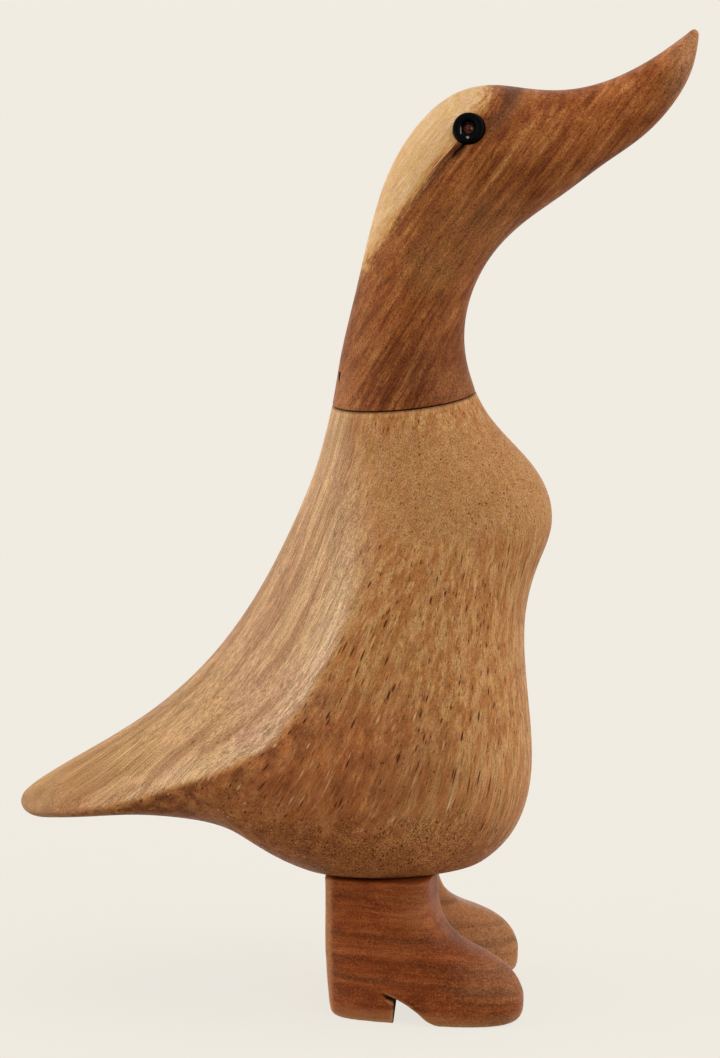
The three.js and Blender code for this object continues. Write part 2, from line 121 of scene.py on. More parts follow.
# height, back, front, half width, roundness in front, at the back, widening to the front
BOOT_TABLE = [
    [0.0, -9.8, 37.5, 10.9, 2.5, 4.5, 0.17],
    [0.35, -10.5, 38.3, 11.4, 2.5, 4.5, 0.17],
    [1.1, -11.2, 39.2, 11.7, 2.5, 4.5, 0.17],
    [3.5, -11.7, 39.8, 11.8, 2.5, 4.5, 0.16],
    [6.5, -12.0, BOOT_TOE, 11.7, 2.5, 4.5, 0.14],
    [10.0, -12.3, 38.9, 11.6, 2.4, 4.5, 0.12],
    [13.0, -12.5, 36.8, 11.4, 2.4, 4.5, 0.10],
    [15.5, -12.6, 33.8, 11.3, 2.4, 4.5, 0.09],
    [17.5, -BOOT_HEEL, 30.0, 11.2, 2.5, 4.5, 0.07],
    [19.5, -BOOT_HEEL, 25.2, BOOT_HALF_WIDTH, 2.7, 4.5, 0.05],
    [22.0, -BOOT_HEEL, 21.2, BOOT_HALF_WIDTH, 3.1, 4.5, 0.02],
    [26.0, -BOOT_HEEL, 17.9, BOOT_HALF_WIDTH, 3.6, 4.5, 0.0],
    [31.0, -BOOT_HEEL, 16.2, BOOT_HALF_WIDTH, 4.0, 4.5, 0.0],
    [BOOT_TOP, -BOOT_HEEL, 15.6, BOOT_HALF_WIDTH, 4.4, 4.5, 0.0],
]


# ---------------------------------------------------------------- curves
def cubic(t, v):
    """natural cubic spline through values v at knots t"""
    t, v = np.asarray(t, float), np.asarray(v, float)
    n, h = len(t), np.diff(t)
    a, b, c, d = np.zeros(n), np.ones(n), np.zeros(n), np.zeros(n)
    for i in range(1, n - 1):
        a[i], b[i], c[i] = h[i - 1], 2 * (h[i - 1] + h[i]), h[i]
        d[i] = 6 * ((v[i + 1] - v[i]) / h[i] - (v[i] - v[i - 1]) / h[i - 1])
    for i in range(1, n):
        m = a[i] / b[i - 1]
        b[i] -= m * c[i - 1]
        d[i] -= m * d[i - 1]
    M = np.zeros(n)
    M[-1] = d[-1] / b[-1]
    for i in range(n - 2, -1, -1):
        M[i] = (d[i] - c[i] * M[i + 1]) / b[i]

    def f(x):
        x = np.asarray(x, float)
        i = np.clip(np.searchsorted(t, x, "right") - 1, 0, n - 2)
        A, B = (t[i + 1] - x) / h[i], (x - t[i]) / h[i]
        return A * v[i] + B * v[i + 1] + ((A ** 3 - A) * M[i] + (B ** 3 - B) * M[i + 1]) * h[i] ** 2 / 6
    return f


def steady(t, v):
    """piecewise cubic that never overshoots"""
    t, v = np.asarray(t, float), np.asarray(v, float)
    n, h = len(t), np.diff(t)
    s = np.diff(v) / h
    m = np.zeros(n)
    for i in range(1, n - 1):
        if s[i - 1] * s[i] > 0:
            w1, w2 = 2 * h[i] + h[i - 1], h[i] + 2 * h[i - 1]
            m[i] = (w1 + w2) / (w1 / s[i - 1] + w2 / s[i])

    def edge(h0, h1, s0, s1):
        d = ((2 * h0 + h1) * s0 - h0 * s1) / (h0 + h1)
        if d * s0 <= 0:
            return 0.0
        return 3 * s0 if s0 * s1 <= 0 and abs(d) > 3 * abs(s0) else d
    m[0], m[-1] = edge(h[0], h[1], s[0], s[1]), edge(h[-1], h[-2], s[-1], s[-2])

    def f(x):
        x = np.asarray(x, float)
        i = np.clip(np.searchsorted(t, x, "right") - 1, 0, n - 2)
        u = (x - t[i]) / h[i]
        u2, u3 = u * u, u * u * u
        return ((2 * u3 - 3 * u2 + 1) * v[i] + (u3 - 2 * u2 + u) * h[i] * m[i]
                + (3 * u2 - 2 * u3) * v[i + 1] + (u3 - u2) * h[i] * m[i + 1])
    return f


def outline(points):
    p = np.array(points, float)
    s = np.r_[0, np.cumsum(np.hypot(*np.diff(p, axis=0).T))]
    fx, fz = cubic(s / s[-1], p[:, 0]), cubic(s / s[-1], p[:, 1])
    return lambda u: np.array([float(fx(u)), float(fz(u))])


def columns(table, steady_ones):
    a = np.array(table, float)
    return [(steady if i < steady_ones else cubic)(a[:, 0], a[:, i + 1]) for i in range(a.shape[1] - 1)]


def rounded(s, sm, n_back, n_front):
    back = (1 - np.clip((sm - s) / sm, 0, 1) ** n_back) ** (1 / n_back)
    front = (1 - np.clip((s - sm) / (1 - sm), 0, 1) ** n_front) ** (1 / n_front)
    return np.where(s < sm, back, front)


def smooth(x, lo, hi):
    u = np.clip((x - lo) / (hi - lo), 0, 1)
    return u * u * (3 - 2 * u)


def section(back, front, w, s, extra, n):
    """half outline of one section, n points even along the outline, from back to front, with extra rows carried along"""
    D = float(np.hypot(*(front - back)))
    L = np.r_[0, np.cumsum(np.hypot(np.diff(s) * D, np.diff(w)))]
    u = np.linspace(0, L[-1], n)
    si, wi = np.interp(u, L, s), np.interp(u, L, w)
    wi[0] = wi[-1] = 0
    p = back + (front - back) * si[:, None]
    return np.stack([p[:, 0], -wi, p[:, 1]], -1), [np.interp(u, L, e) for e in extra], L, u


def mirrored(half):
    """closed ring from a right-hand half: front, right side, back, left side"""
    right = half[::-1]
    left = half[1:-1].copy()
    left[:, 1] *= -1
    return np.vstack([right, left])


def mirrored_value(half):
    return np.r_[half[::-1], half[1:-1]]


# ---------------------------------------------------------------- mesh helpers
def make_object(name, verts, faces, values=None, uv=None, flat=40.0):
    """a mesh object in metres from millimetre vertices; values are per-vertex numbers kept as attributes"""
    me = bpy.data.meshes.new(name)
    me.from_pydata((np.asarray(verts) * 0.001).tolist(), [], [list(map(int, f)) for f in faces])
    me.validate()
    for key, val in (values or {}).items():
        val = np.asarray(val, np.float32)
        if val.ndim == 1:
            me.attributes.new(key, "FLOAT", "POINT").data.foreach_set("value", val)
        else:
            me.attributes.new(key, "FLOAT_VECTOR", "POINT").data.foreach_set("vector", val.ravel())
    if uv is not None:
        layer = me.uv_layers.new(name="OFBake")
        layer.data.foreach_set("uv", np.asarray(uv, np.float32).ravel())
    me.polygons.foreach_set("use_smooth", np.ones(len(me.polygons), bool))
    if flat:
        me.set_sharp_from_angle(angle=math.radians(flat))
    me.update()
    ob = bpy.data.objects.new(name, me)
    bpy.context.scene.collection.objects.link(ob)
    return ob


def vertex_array(me):
    a = np.empty(len(me.vertices) * 3, np.float32)
    me.vertices.foreach_get("co", a)
    return a.reshape(-1, 3).astype(float) * 1000


def normal_array(me):
    a = np.empty(len(me.vertices) * 3, np.float32)
    me.vertices.foreach_get("normal", a)
    return a.reshape(-1, 3).astype(float)


def loft(rings, first_cap, last_cap):
    """closed skin: rings (n, m, 3), then each end either a list of inner rings with a middle point, or a tip point.
    Returns the vertices and the faces, quads and triangles."""
    R, m = rings.shape[:2]
    verts = [rings.reshape(-1, 3)]
    k = np.arange(m)
    k2 = (k + 1) % m
    faces = []
    base = np.arange(R - 1)[:, None] * m
    q = np.stack([base + k, base + m + k, base + m + k2, base + k2], -1).reshape(-1, 4)
    faces.extend(q.tolist())
    count = R * m
    for which, cap in ((0, first_cap), (1, last_cap)):
        edge = k if which == 0 else (R - 1) * m + k
        inner, tip = cap
        for ring in inner:
            verts.append(ring)
            now = count + k
            count += m
            a, b = (now, edge) if which == 0 else (edge, now)
            faces.extend(np.stack([a, b, b[(k + 1) % m], a[(k + 1) % m]], -1).tolist())
            edge = now
        verts.append(np.asarray(tip, float)[None])
        t = count
        count += 1
        if which == 0:
            faces.extend([[t, int(edge[i]), int(edge[(i + 1) % m])] for i in range(m)])
        else:
            faces.extend([[int(edge[i]), t, int(edge[(i + 1) % m])] for i in range(m)])
    return np.vstack(verts), faces


def outward(verts, faces):
    """faces turned so that the skin's volume is positive"""
    vol = 0.0
    tri = np.array([[f[0], f[i], f[i + 1]] for f in faces for i in range(1, len(f) - 1)])
    a, b, c = verts[tri[:, 0]], verts[tri[:, 1]], verts[tri[:, 2]]
    vol = np.einsum("ij,ij->i", a, np.cross(b, c)).sum()
    return faces if vol > 0 else [f[::-1] for f in faces]


def waves(p, seed, size, count=14):
    """smooth hand-made unevenness: a sum of plane waves, about -1..1"""
    rng = np.random.RandomState(seed)
    out = np.zeros(len(p))
    for _ in range(count):
        d = rng.normal(size=3)
        d /= np.linalg.norm(d)
        out += np.sin(p @ d * (2 * math.pi / (size * rng.uniform(0.7, 1.5))) + rng.uniform(0, 6.28))
    return out / math.sqrt(count)


def grid_normals(rings):
    """outward normals of a ring grid"""
    du = np.roll(rings, -1, 1) - np.roll(rings, 1, 1)
    dv = np.gradient(rings, axis=0)
    n = np.cross(du, dv)
    n /= np.linalg.norm(n, axis=-1, keepdims=True) + 1e-12
    c = rings.mean(1, keepdims=True)
    if ((rings - c) * n).sum() < 0:
        n = -n
    return n


def cap_rings(ring, inset, steps, lift):
    """rings that close an end: drawn in towards the middle of the given ring"""
    c = ring.mean(0)
    out = []
    for f in steps:
        out.append(c + (ring - c) * f)
    return out, c


def grid_map(rings, where):
    """flat map of a ring grid, one long island: across is measured along each ring, down is measured along the skin"""
    m = rings.shape[1]
    step = np.linalg.norm(np.roll(rings, -1, 1) - rings, axis=-1)
    around = np.concatenate([np.zeros((len(rings), 1)), np.cumsum(step, 1)], 1)        # m + 1 places, the last is the wrap
    per = around[:, -1:]
    width = per ** 0.6
    width /= width.max()
    u = 0.5 + (around / per - 0.5) * width
    down = np.r_[0, np.cumsum(np.linalg.norm(np.diff(rings, axis=0), axis=-1).mean(1))]
    v = np.repeat((down / down[-1])[:, None], m + 1, 1)
    x0, y0, x1, y1 = where
    return np.stack([x0 + (x1 - x0) * u, y0 + (y1 - y0) * v], -1)


def map_faces(faces, R, m, uvgrid, corner):
    """uv of every face corner: the grid's own island, and all cap faces in a small island of their own"""
    out = []
    flat = uvgrid
    (cx, cy, cr) = corner
    for f in faces:
        if max(f) < R * m:
            cols = [i % m for i in f]
            wrap = max(cols) - min(cols) > m // 2
            for i in f:
                r, c = divmod(i, m)
                if wrap and c == 0:
                    c = m
                out.append(flat[r, c])
        else:
            for i in f:
                if i < R * m or i % m:
                    a = 2 * math.pi * (i % m) / m
                    out.append((cx + cr * math.cos(a), cy + cr * math.sin(a)))
                else:
                    out.append((cx, cy))
    return out


# ---------------------------------------------------------------- fibre directions
# the root's fibres stand upright at the breast and sweep round into the tail; the slope of the map, in powers of the place
FLOW = (0.8395 + 0.3628j, 0.0581 - 0.4509j, 0.0487 + 0.3439j)


def fibres(p):
    """wood coordinates of the body in mm: across the fibres in the middle plane, across it sideways, and along the fibres"""
    w = (p[:, 0] + 1j * (p[:, 2] - 90)) / 100
    f = 100 * sum(b * w ** (k + 1) / (k + 1) for k, b in enumerate(FLOW))
    return np.stack([f.real, p[:, 1], f.imag], -1)


# ---------------------------------------------------------------- body
def build_body():
    N, half = ((312, 136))
    B, F, cols = outline(BACK_LINE), outline(FRONT_LINE), columns(BODY_TABLE, 2)
    ts = 1 - (1 - np.arange(N) / N) ** 1.25
    ts = np.unique(np.r_[ts, [0.0006, 0.0012, 0.0020]])
    s = (1 - np.cos(np.linspace(0, math.pi, 900))) / 2
    rings, facet, ridge = [], [], []
    line = np.array(RIDGE_LINE)
    crossing = steady(line[:, 0], line[:, 1])
    for t in ts:
        b, f, W0, sm, n1, n2, rs, rw0, crown, soft = [float(c(t)) for c in cols]
        close = 1 - (max(t - 0.90, 0) / 0.10) ** 2.2
        W, rw = W0 * close, rw0 * close
        flank = W * rounded(s, sm, n1, n2)
        q = s / rs
        back = rw * np.sqrt(np.maximum(q * (crown + (1 - crown) * q), 0))
        k = soft * np.minimum(1, 4 * s * (1 - s)) * W + 1e-6
        h = np.clip(0.5 + 0.5 * (back - flank) / k, 0, 1)
        w = np.maximum(back * (1 - h) + flank * h - k * h * (1 - h), 0)
        w[0] = w[-1] = 0
        share = 1 - h
        share[0] = share[1]
        D = float(np.hypot(*(F(f) - B(b))))
        L = np.r_[0, np.cumsum(np.hypot(np.diff(s) * D, np.diff(w)))]
        at = float(np.interp(crossing(t), s, L))
        pts, (sh, rd), _, _ = section(B(b), F(f), w, s, [share, L - at], half)
        rings.append(mirrored(pts))
        facet.append(mirrored_value(sh))
        ridge.append(mirrored_value(rd))
    rings, facet, ridge = np.array(rings), np.array(facet), np.array(ridge)
    # soften the neck rim
    seam_n = np.cross(np.array([31.7 + 6.2, 0, 164.8 - 161.0]), np.array([0, 1.0, 0]))
    seam_n /= np.linalg.norm(seam_n)
    d = np.abs((rings - np.array([-6.2, 0, 161.0])) @ seam_n)
    c = rings.mean(1, keepdims=True)
    out = rings - c
    size = np.linalg.norm(out, axis=-1, keepdims=True)
    inset = RIM - np.sqrt(np.maximum(RIM ** 2 - np.maximum(RIM - d, 0) ** 2, 0))
    near = (np.arange(len(rings)) < 14)[:, None]
    rings = rings - out / np.maximum(size, 1e-6) * (inset * near)[..., None]
    # hand-sanded unevenness, none at the joint
    nrm = grid_normals(rings)
    flatp = rings.reshape(-1, 3)
    amp = (0.13 * waves(flatp, 3, 46) + 0.05 * waves(flatp, 4, 17)).reshape(rings.shape[:2])
    fade = smooth(d, 0.5, 12) * smooth(np.abs(rings[..., 1]), 0, 14) * smooth(ts, 0, 0.03)[:, None] * (1 - 0.6 * smooth(ts, 0.9, 1.0))[:, None]
    rings = rings + nrm * ((amp - 0.06) * fade)[..., None]
    caps0, mid0 = cap_rings(rings[0], 0, [0.985, 0.9, 0.7, 0.45, 0.2], 0)
    tip = np.array([TAIL_TIP[0] + 0.05, 0, TAIL_TIP[1]])
    verts, faces = loft(rings, (caps0, mid0), ([], tip))
    # sawn flat under the belly
    dz = verts[:, 2] - BELLY_FLAT
    kk = 0.5
    verts[:, 2] = BELLY_FLAT + 0.5 * (dz + np.sqrt(dz * dz + kk * kk)) - np.where(dz > 3, kk * kk / (4 * np.maximum(dz, 3)), 0)
    faces = outward(verts, faces)
    R, m = rings.shape[:2]
    extra = len(verts) - R * m
    facet = np.r_[facet.ravel(), np.zeros(extra)]
    ridge = np.r_[ridge.ravel(), np.zeros(extra)]
    tt = np.r_[np.repeat(ts, m), np.zeros(extra - 1), 1.0]
    uvs = map_faces(faces, R, m, grid_map(rings, (0.01, 0.08, 0.99, 0.99)), (0.04, 0.035, 0.025))
    clip(verts, "body")
    return make_object("duck_body", verts, faces, {"wood": fibres(verts), "facet": facet, "ridge": ridge, "run": tt}, uvs, flat=50)


def clip(verts, node):
    lo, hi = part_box(node)
    for i in range(3):
        np.clip(verts[:, i], lo[i] * 1000, hi[i] * 1000, out=verts[:, i])


# ---------------------------------------------------------------- booleans
def cut(ob, cutter):
    md = ob.modifiers.new("cut", "BOOLEAN")
    md.operation, md.object = "DIFFERENCE", cutter
    md.solver = "EXACT"
    dg = bpy.context.evaluated_depsgraph_get()
    me = bpy.data.meshes.new_from_object(ob.evaluated_get(dg), preserve_all_data_layers=True, depsgraph=dg)
    old = ob.data
    name = old.name
    ob.modifiers.clear()
    ob.data = me
    bpy.data.meshes.remove(old)
    me.name = name
    bpy.data.objects.remove(cutter, do_unlink=True)


def axes(axis):
    a = np.asarray(axis, float) / np.linalg.norm(axis)
    u = np.cross(a, [0, 0, 1.0])
    u /= np.linalg.norm(u)
    return u, np.cross(a, u), a


def lathe(name, profile, at, axis, n=96, values=None):
    """profile: list of (radius, height along the axis), first and last on the axis"""
    u, v, a = axes(axis)
    ang = np.arange(n) * 2 * math.pi / n
    ring = np.cos(ang)[:, None] * u + np.sin(ang)[:, None] * v
    rings = np.array([at + a * h + ring * r for r, h in profile[1:-1]])
    verts, faces = loft(rings, ([], at + a * profile[0][1]), ([], at + a * profile[-1][1]))
    faces = outward(verts - at, faces)
    return verts, faces


def wedge(name, top, bottom, across, deep, w_top, w_bottom, depth, lift=1.5):
    """a tapering split: from top to bottom along the surface, cut in along deep"""
    top, bottom, across, deep = (np.asarray(v, float) for v in (top, bottom, across, deep))
    pts, n = [], 9
    for i in range(n):
        f = i / (n - 1)
        c = top + (bottom - top) * f + across * 0.16 * math.sin(f * 7.0)
        w = (w_top * (1 - f) ** 0.8 + w_bottom * f) * (1 + 0.12 * math.sin(11 * f + 1))
        dp = depth * (1 - 0.72 * f)
        pts.append([c - across * w / 2 - deep * lift, c + across * w / 2 - deep * lift, c + across * w * 0.5,
                    c + deep * dp, c - across * w * 0.5])
    rings = np.array(pts)
    verts, faces = loft(rings, ([], rings[0].mean(0)), ([], rings[-1].mean(0)))
    return make_object(name, verts, outward(verts - verts.mean(0), faces), flat=0)


# ---------------------------------------------------------------- head
GRAIN = np.radians(52.5)                        # the head's grain rises towards the bill
ALONG = np.array([math.cos(GRAIN), 0, math.sin(GRAIN)])
ACROSS = np.array([-math.sin(GRAIN), 0, math.cos(GRAIN)])


def head_wood(p):
    """wood coordinates of the head in mm: across the growth layers, sideways, along the grain. 0 across is the edge of the pale
    sapwood at the eye."""
    q = p - np.array([26.3, 0, 233.0])
    a = q @ ACROSS
    l = q @ ALONG
    a = a + 0.0052 * (p[:, 1] ** 2 - 256)      # layers curl over slightly from side to side
    a = a + 0.0024 * np.minimum(l + 4, 0) ** 2 + 0.05 * np.maximum(l - 6, 0)
    return np.stack([a, p[:, 1], l], -1)


def head_fibres(p):
    q = p - np.array([26.3, 0, 233.0])
    a, l = q @ ACROSS, q @ ALONG
    return np.stack([a + 0.0030 * p[:, 1] ** 2 + 0.0011 * np.minimum(l + 8, 0) ** 2, p[:, 1], l], -1)


def build_head():
    N, half = ((270, 92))
    B, F, cols = outline(NAPE_LINE), outline(THROAT_LINE), columns(HEAD_TABLE, 2)
    ts = np.maximum(0.0023, 1 - (1 - np.arange(N) / N) ** 1.2)
    ts = np.unique(np.r_[ts, [0.0023, 0.0029, 0.0035, 0.0043]])
    s = (1 - np.cos(np.linspace(0, math.pi, 700))) / 2
    rings = []
    for t in ts:
        b, f, W0, sm, n1, n2 = [float(c(t)) for c in cols]
        W = W0 * (1 - (max(t - 0.90, 0) / 0.10) ** 2.2)
        w = W * rounded(s, sm, n1, n2)
        w[0] = w[-1] = 0
        rings.append(mirrored(section(B(b), F(f), w, s, [], half)[0]))
    rings = np.array(rings)
    first = rings[0].mean(0)
    n0 = np.cross(rings[0][half // 2] - first, rings[0][0] - first)
    n0 /= np.linalg.norm(n0)
    d = np.abs((rings - first) @ n0)
    out = rings - rings.mean(1, keepdims=True)
    size = np.linalg.norm(out, axis=-1, keepdims=True)
    inset = RIM - np.sqrt(np.maximum(RIM ** 2 - np.maximum(RIM - d, 0) ** 2, 0))
    near = (np.arange(len(rings)) < 14)[:, None]
    rings = rings - out / np.maximum(size, 1e-6) * (inset * near)[..., None]
    nrm = grid_normals(rings)
    flatp = rings.reshape(-1, 3)
    amp = (0.09 * waves(flatp, 8, 34) + 0.035 * waves(flatp, 9, 13)).reshape(rings.shape[:2])
    fade = smooth(d, 0.5, 10) * smooth(np.abs(rings[..., 1]), 0, 8) * (1 - 0.7 * smooth(ts, 0.9, 1.0))[:, None]
    rings = rings + nrm * ((amp - 0.04) * fade)[..., None]
    caps0, mid0 = cap_rings(rings[0], 0, [0.985, 0.9, 0.7, 0.45, 0.2], 0)
    tip = np.array([BILL_TIP[0] - 0.03, 0, BILL_TIP[1] - 0.02])
    verts, faces = loft(rings, (caps0, mid0), ([], tip))
    faces = outward(verts, faces)
    R, m = rings.shape[:2]
    uvs = map_faces(faces, R, m, grid_map(rings, (0.01, 0.08, 0.99, 0.99)), (0.04, 0.035, 0.025))
    clip(verts, "head")
    ob = make_object("duck_head", verts, faces, {}, uvs, flat=0)
    def on_skin(x, z):                          # the point of the right side that lies at x, z
        d = (verts[:, 0] - x) ** 2 + (verts[:, 2] - z) ** 2 + np.where(verts[:, 1] > -0.3, 1e6, 0)
        return np.array([x, verts[np.argsort(d)[:3], 1].mean(), z])
    # short drying split that runs back from the right eye along the grain
    top, bottom = on_skin(28.2, 233.1), on_skin(24.9, 228.8)
    deep = np.array([0.05, 0.97, -0.22])
    along = (bottom - top) / np.linalg.norm(bottom - top)
    across = np.cross(along, deep)
    across /= np.linalg.norm(across)
    cut(ob, wedge("split", top, bottom, across, deep, 1.5, 0.2, 1.5))
    # nick at the back of the neck just over the joint
    cut(ob, wedge("nick", on_skin(-4.15, 170.7), on_skin(-4.35, 168.1), [0.96, -0.25, 0.0], [0.25, 0.96, -0.1], 0.85, 0.4, 1.6))
    for side in (-1, 1):                        # drilled eye seats with a slightly worn rim
        at, ax = eye_place(side)
        prof = [(0, -EYE_DEPTH - GLUE_GAP), (EYE_RADIUS + 0.12, -EYE_DEPTH - GLUE_GAP), (EYE_RADIUS + 0.12, -0.35),
                (EYE_RADIUS + 0.2, 0.1), (EYE_RADIUS + 0.5, 0.9), (EYE_RADIUS + 0.5, 6), (0, 6)]
        v, f = lathe("seat", prof, at, ax, 128)
        cut(ob, make_object("seat", v, f, flat=0))
    me = ob.data
    p = vertex_array(me)
    me.attributes.new("wood", "FLOAT_VECTOR", "POINT").data.foreach_set("vector", head_fibres(p).astype(np.float32).ravel())
    me.attributes.new("layer", "FLOAT_VECTOR", "POINT").data.foreach_set("vector", head_wood(p).astype(np.float32).ravel())
    me.set_sharp_from_angle(angle=math.radians(38))
    return ob


def eye_place(side):
    s = np.array([1, -side, 1.0])
    return EYE_AT * s, EYE_AXIS * s


# ---------------------------------------------------------------- boots
def build_boot(side, name):
    cols = columns(BOOT_TABLE, 6)
    NZ, M = ((104, 220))
    zs = np.r_[np.linspace(0, 1.6, 9)[:-1], np.linspace(1.6, BOOT_TOP, NZ)]
    ang = 2 * math.pi * np.arange(M) / M
    c, s = np.cos(ang), np.sin(ang)
    rings = []
    for z in zs:
        back, front, w, nf, nb, widen = [float(f(z)) for f in cols]
        mid = back + (front - back) * 0.42
        n = np.where(c >= 0, nf, nb)
        r = (np.abs(c) ** n + np.abs(s) ** n) ** (-1 / n)
        x = mid + np.where(c >= 0, front - mid, mid - back) * c * r
        y = w * s * r * (1 + widen * (x - mid) / (front - back))
        rings.append(np.stack([x, y, np.full_like(x, z)], -1))
    rings = np.array(rings)
    flatp = rings.reshape(-1, 3) + np.array([0, 40.0 * side, 0])
    low = 0.10 * waves(flatp, 21 + side, 19) - 0.06
    nrm = grid_normals(rings)
    nrm[..., 2] *= 0.0
    fade = (smooth(rings[..., 2], 0, 3) * (1 - smooth(rings[..., 2], BOOT_TOP - 2, BOOT_TOP)))
    rings = rings + nrm * (low.reshape(rings.shape[:2]) * fade)[..., None]
    steps = [0.9, 0.7, 0.5, 0.3, 0.15]
    lo, lo_c = cap_rings(rings[0], 0, steps, 0)
    hi, hi_c = cap_rings(rings[-1], 0, steps, 0)
    verts, faces = loft(rings, (lo, lo_c), (hi, hi_c))
    ob = make_object(name, verts, outward(verts - verts.mean(0), faces), flat=0)
    # sawn arch with the kerf that runs on into the heel
    hf = -BOOT_HEEL + HEEL_LENGTH
    prof = [(hf - 0.1, -2), (hf + 0.1, ARCH_HEIGHT - SAW_KERF), (hf - SAW_OVERCUT, ARCH_HEIGHT + 0.55),
            (hf - SAW_OVERCUT + 0.1, ARCH_HEIGHT + 0.55 + SAW_KERF), (hf + 0.7, ARCH_HEIGHT)]

    def quad(p0, p1, p2, n=8):
        return [tuple((1 - u) ** 2 * np.array(p0) + 2 * u * (1 - u) * np.array(p1) + u * u * np.array(p2)) for u in
                np.linspace(0, 1, n + 1)[1:]]
    prof += quad(prof[-1], (hf + 5.2, ARCH_HEIGHT - 2.2), (hf + 7.2, 2.6))
    prof += quad(prof[-1], (hf + 9.2, 0.55), (hf + 12.0, 0.0))
    prof += [(hf + 12.0, -2)]
    prof = np.array(prof)
    n = len(prof)
    v = np.vstack([np.c_[prof[:, 0], np.full(n, -30.0), prof[:, 1]], np.c_[prof[:, 0], np.full(n, 30.0), prof[:, 1]]])
    sk, dx, dy = -side * SAW_SKEW, v[:, 0] - hf, v[:, 1] - side * BOOT_HALF_WIDTH
    v[:, 0], v[:, 1] = hf + dx * math.cos(sk) - dy * math.sin(sk), side * BOOT_HALF_WIDTH + dx * math.sin(sk) + dy * math.cos(sk)
    f = [list(range(n)), list(range(2 * n - 1, n - 1, -1))] + [[i, i + n, (i + 1) % n + n, (i + 1) % n] for i in range(n)]
    cut(ob, make_object("arch", v, outward(v, f), flat=0))
    # an even skin with the corners eased as sandpaper eases them
    md = ob.modifiers.new("even", "REMESH")
    md.mode, md.voxel_size, md.use_smooth_shade = "VOXEL", 0.00042, True
    md = ob.modifiers.new("ease", "SMOOTH")
    md.factor, md.iterations = 0.5, 3
    dg = bpy.context.evaluated_depsgraph_get()
    me = bpy.data.meshes.new_from_object(ob.evaluated_get(dg))
    ob.modifiers.clear()
    old = ob.data
    ob.data = me
    bpy.data.meshes.remove(old)
    me.name = name
    p = vertex_array(me)
    nr = normal_array(me)
    local = p.copy()
    a = side * TOE_OUT
    q = np.stack([STANCE_X + p[:, 0] * math.cos(a) - p[:, 1] * math.sin(a),
                  side * STANCE_Y + p[:, 0] * math.sin(a) + p[:, 1] * math.cos(a), p[:, 2]], -1)
    clip(q, "boot_right" if side < 0 else "boot_left")
    me.vertices.foreach_set("co", (q * 0.001).astype(np.float32).ravel())
    me.polygons.foreach_set("use_smooth", np.ones(len(me.polygons), bool))
    # how worn an edge is, from how fast the skin turns there
    turn = edge_turn(me, nr)
    me.attributes.new("edge", "FLOAT", "POINT").data.foreach_set("value", turn.astype(np.float32))
    # the sawn heel breast facing into the arch: the material gives it a painted shade, as it lies in the arch's shadow,
    # and a rough finish without sheen
    sawn_face_shade = smooth(nr[:, 0], 0.55, 0.9) * smooth(-p[:, 2], -7.6, -6.4) * smooth(p[:, 0], 1.5, 3.5) * smooth(-p[:, 0], -10.0, -9.0)
    me.attributes.new("sawn", "FLOAT", "POINT").data.foreach_set("value", sawn_face_shade.astype(np.float32))
    # the far (left) boot is marked for a paler colour: painted light, as if it stood in better light
    me.attributes.new("tone", "FLOAT", "POINT").data.foreach_set("value", np.full(len(p), 1.0 if side > 0 else 0.0, np.float32))
    me.attributes.new("wood", "FLOAT_VECTOR", "POINT").data.foreach_set(
        "vector", (local * np.array([1, side, 1])).astype(np.float32).ravel())
    me.update()
    return ob


def edge_turn(me, nr):
    """convexity per vertex in 1/mm, smoothed: above 0 on outward corners, below 0 in grooves"""
    e = np.empty(len(me.edges) * 2, np.int32)
    me.edges.foreach_get("vertices", e)
    e = e.reshape(-1, 2)
    p = vertex_array(me)
    d = p[e[:, 1]] - p[e[:, 0]]
    L = np.linalg.norm(d, axis=1) + 1e-9
    k = ((nr[e[:, 1]] - nr[e[:, 0]]) * d).sum(1) / L ** 2
    s, w = np.zeros(len(p)), np.zeros(len(p))
    for j in (0, 1):
        np.add.at(s, e[:, j], k)
        np.add.at(w, e[:, j], 1)
    s /= np.maximum(w, 1)
    for _ in range(3):
        t, w2 = np.zeros(len(p)), np.zeros(len(p))
        for i, j in ((0, 1), (1, 0)):
            np.add.at(t, e[:, i], s[e[:, j]])
            np.add.at(w2, e[:, i], 1)
        s = 0.5 * s + 0.5 * t / np.maximum(w2, 1)
    return s


# ---------------------------------------------------------------- eyes
def build_eye(side, name):
    R, r, P = EYE_RADIUS - 0.12, EYE_HOLE_RADIUS, EYE_PROUD
    prof = [(0, -EYE_DEPTH), (R - 0.2, -EYE_DEPTH), (R, -EYE_DEPTH + 0.2), (R, -1.2), (R, -0.2), (R, 0.15)]
    c, h = (R + r) / 2, (R - r) / 2
    for i in range(1, 25):
        a = math.pi * i / 24
        prof.append((c + h * math.cos(a) * (1.0 if a < math.pi / 2 else 1.0), 0.15 + (P - 0.15) * math.sin(a) ** 0.5))
    prof += [(r * 0.985, 0.02), (r * 0.95, -0.22), (r * 0.92, -0.42), (r * 0.86, -0.52), (r * 0.7, -0.50), (r * 0.5, -0.44),
             (r * 0.3, -0.36), (r * 0.12, -0.31), (0, -0.3)]
    at, ax = eye_place(side)
    v, f = lathe(name, prof, at, ax, 96)
    # turned unevenness and a rough plug in the hole
    u_, v_, a_ = axes(ax)
    q = v - at
    rr = np.hypot(q @ u_, q @ v_)
    hh = q @ a_
    rough = 0.10 * waves(v, 31 + side, 1.3, 18) * smooth(-rr, -r * 0.93, -r * 0.6) * smooth(hh, -1.2, -0.6)
    swell = 0.03 * waves(v, 41 + side, 3.4) * smooth(hh, -0.2, 0.6)
    v = v + a_ * (rough + swell - 0.02)[:, None]
    clip(v, "eye_right" if side < 0 else "eye_left")
    return make_object(name, v, f, {"rad": rr, "hgt": hh}, flat=45)


body = build_body()
head = build_head()
boot_right, boot_left = build_boot(-1, "duck_boot_right"), build_boot(1, "duck_boot_left")
eye_right, eye_left = build_eye(-1, "duck_eye_right"), build_eye(1, "duck_eye_left")


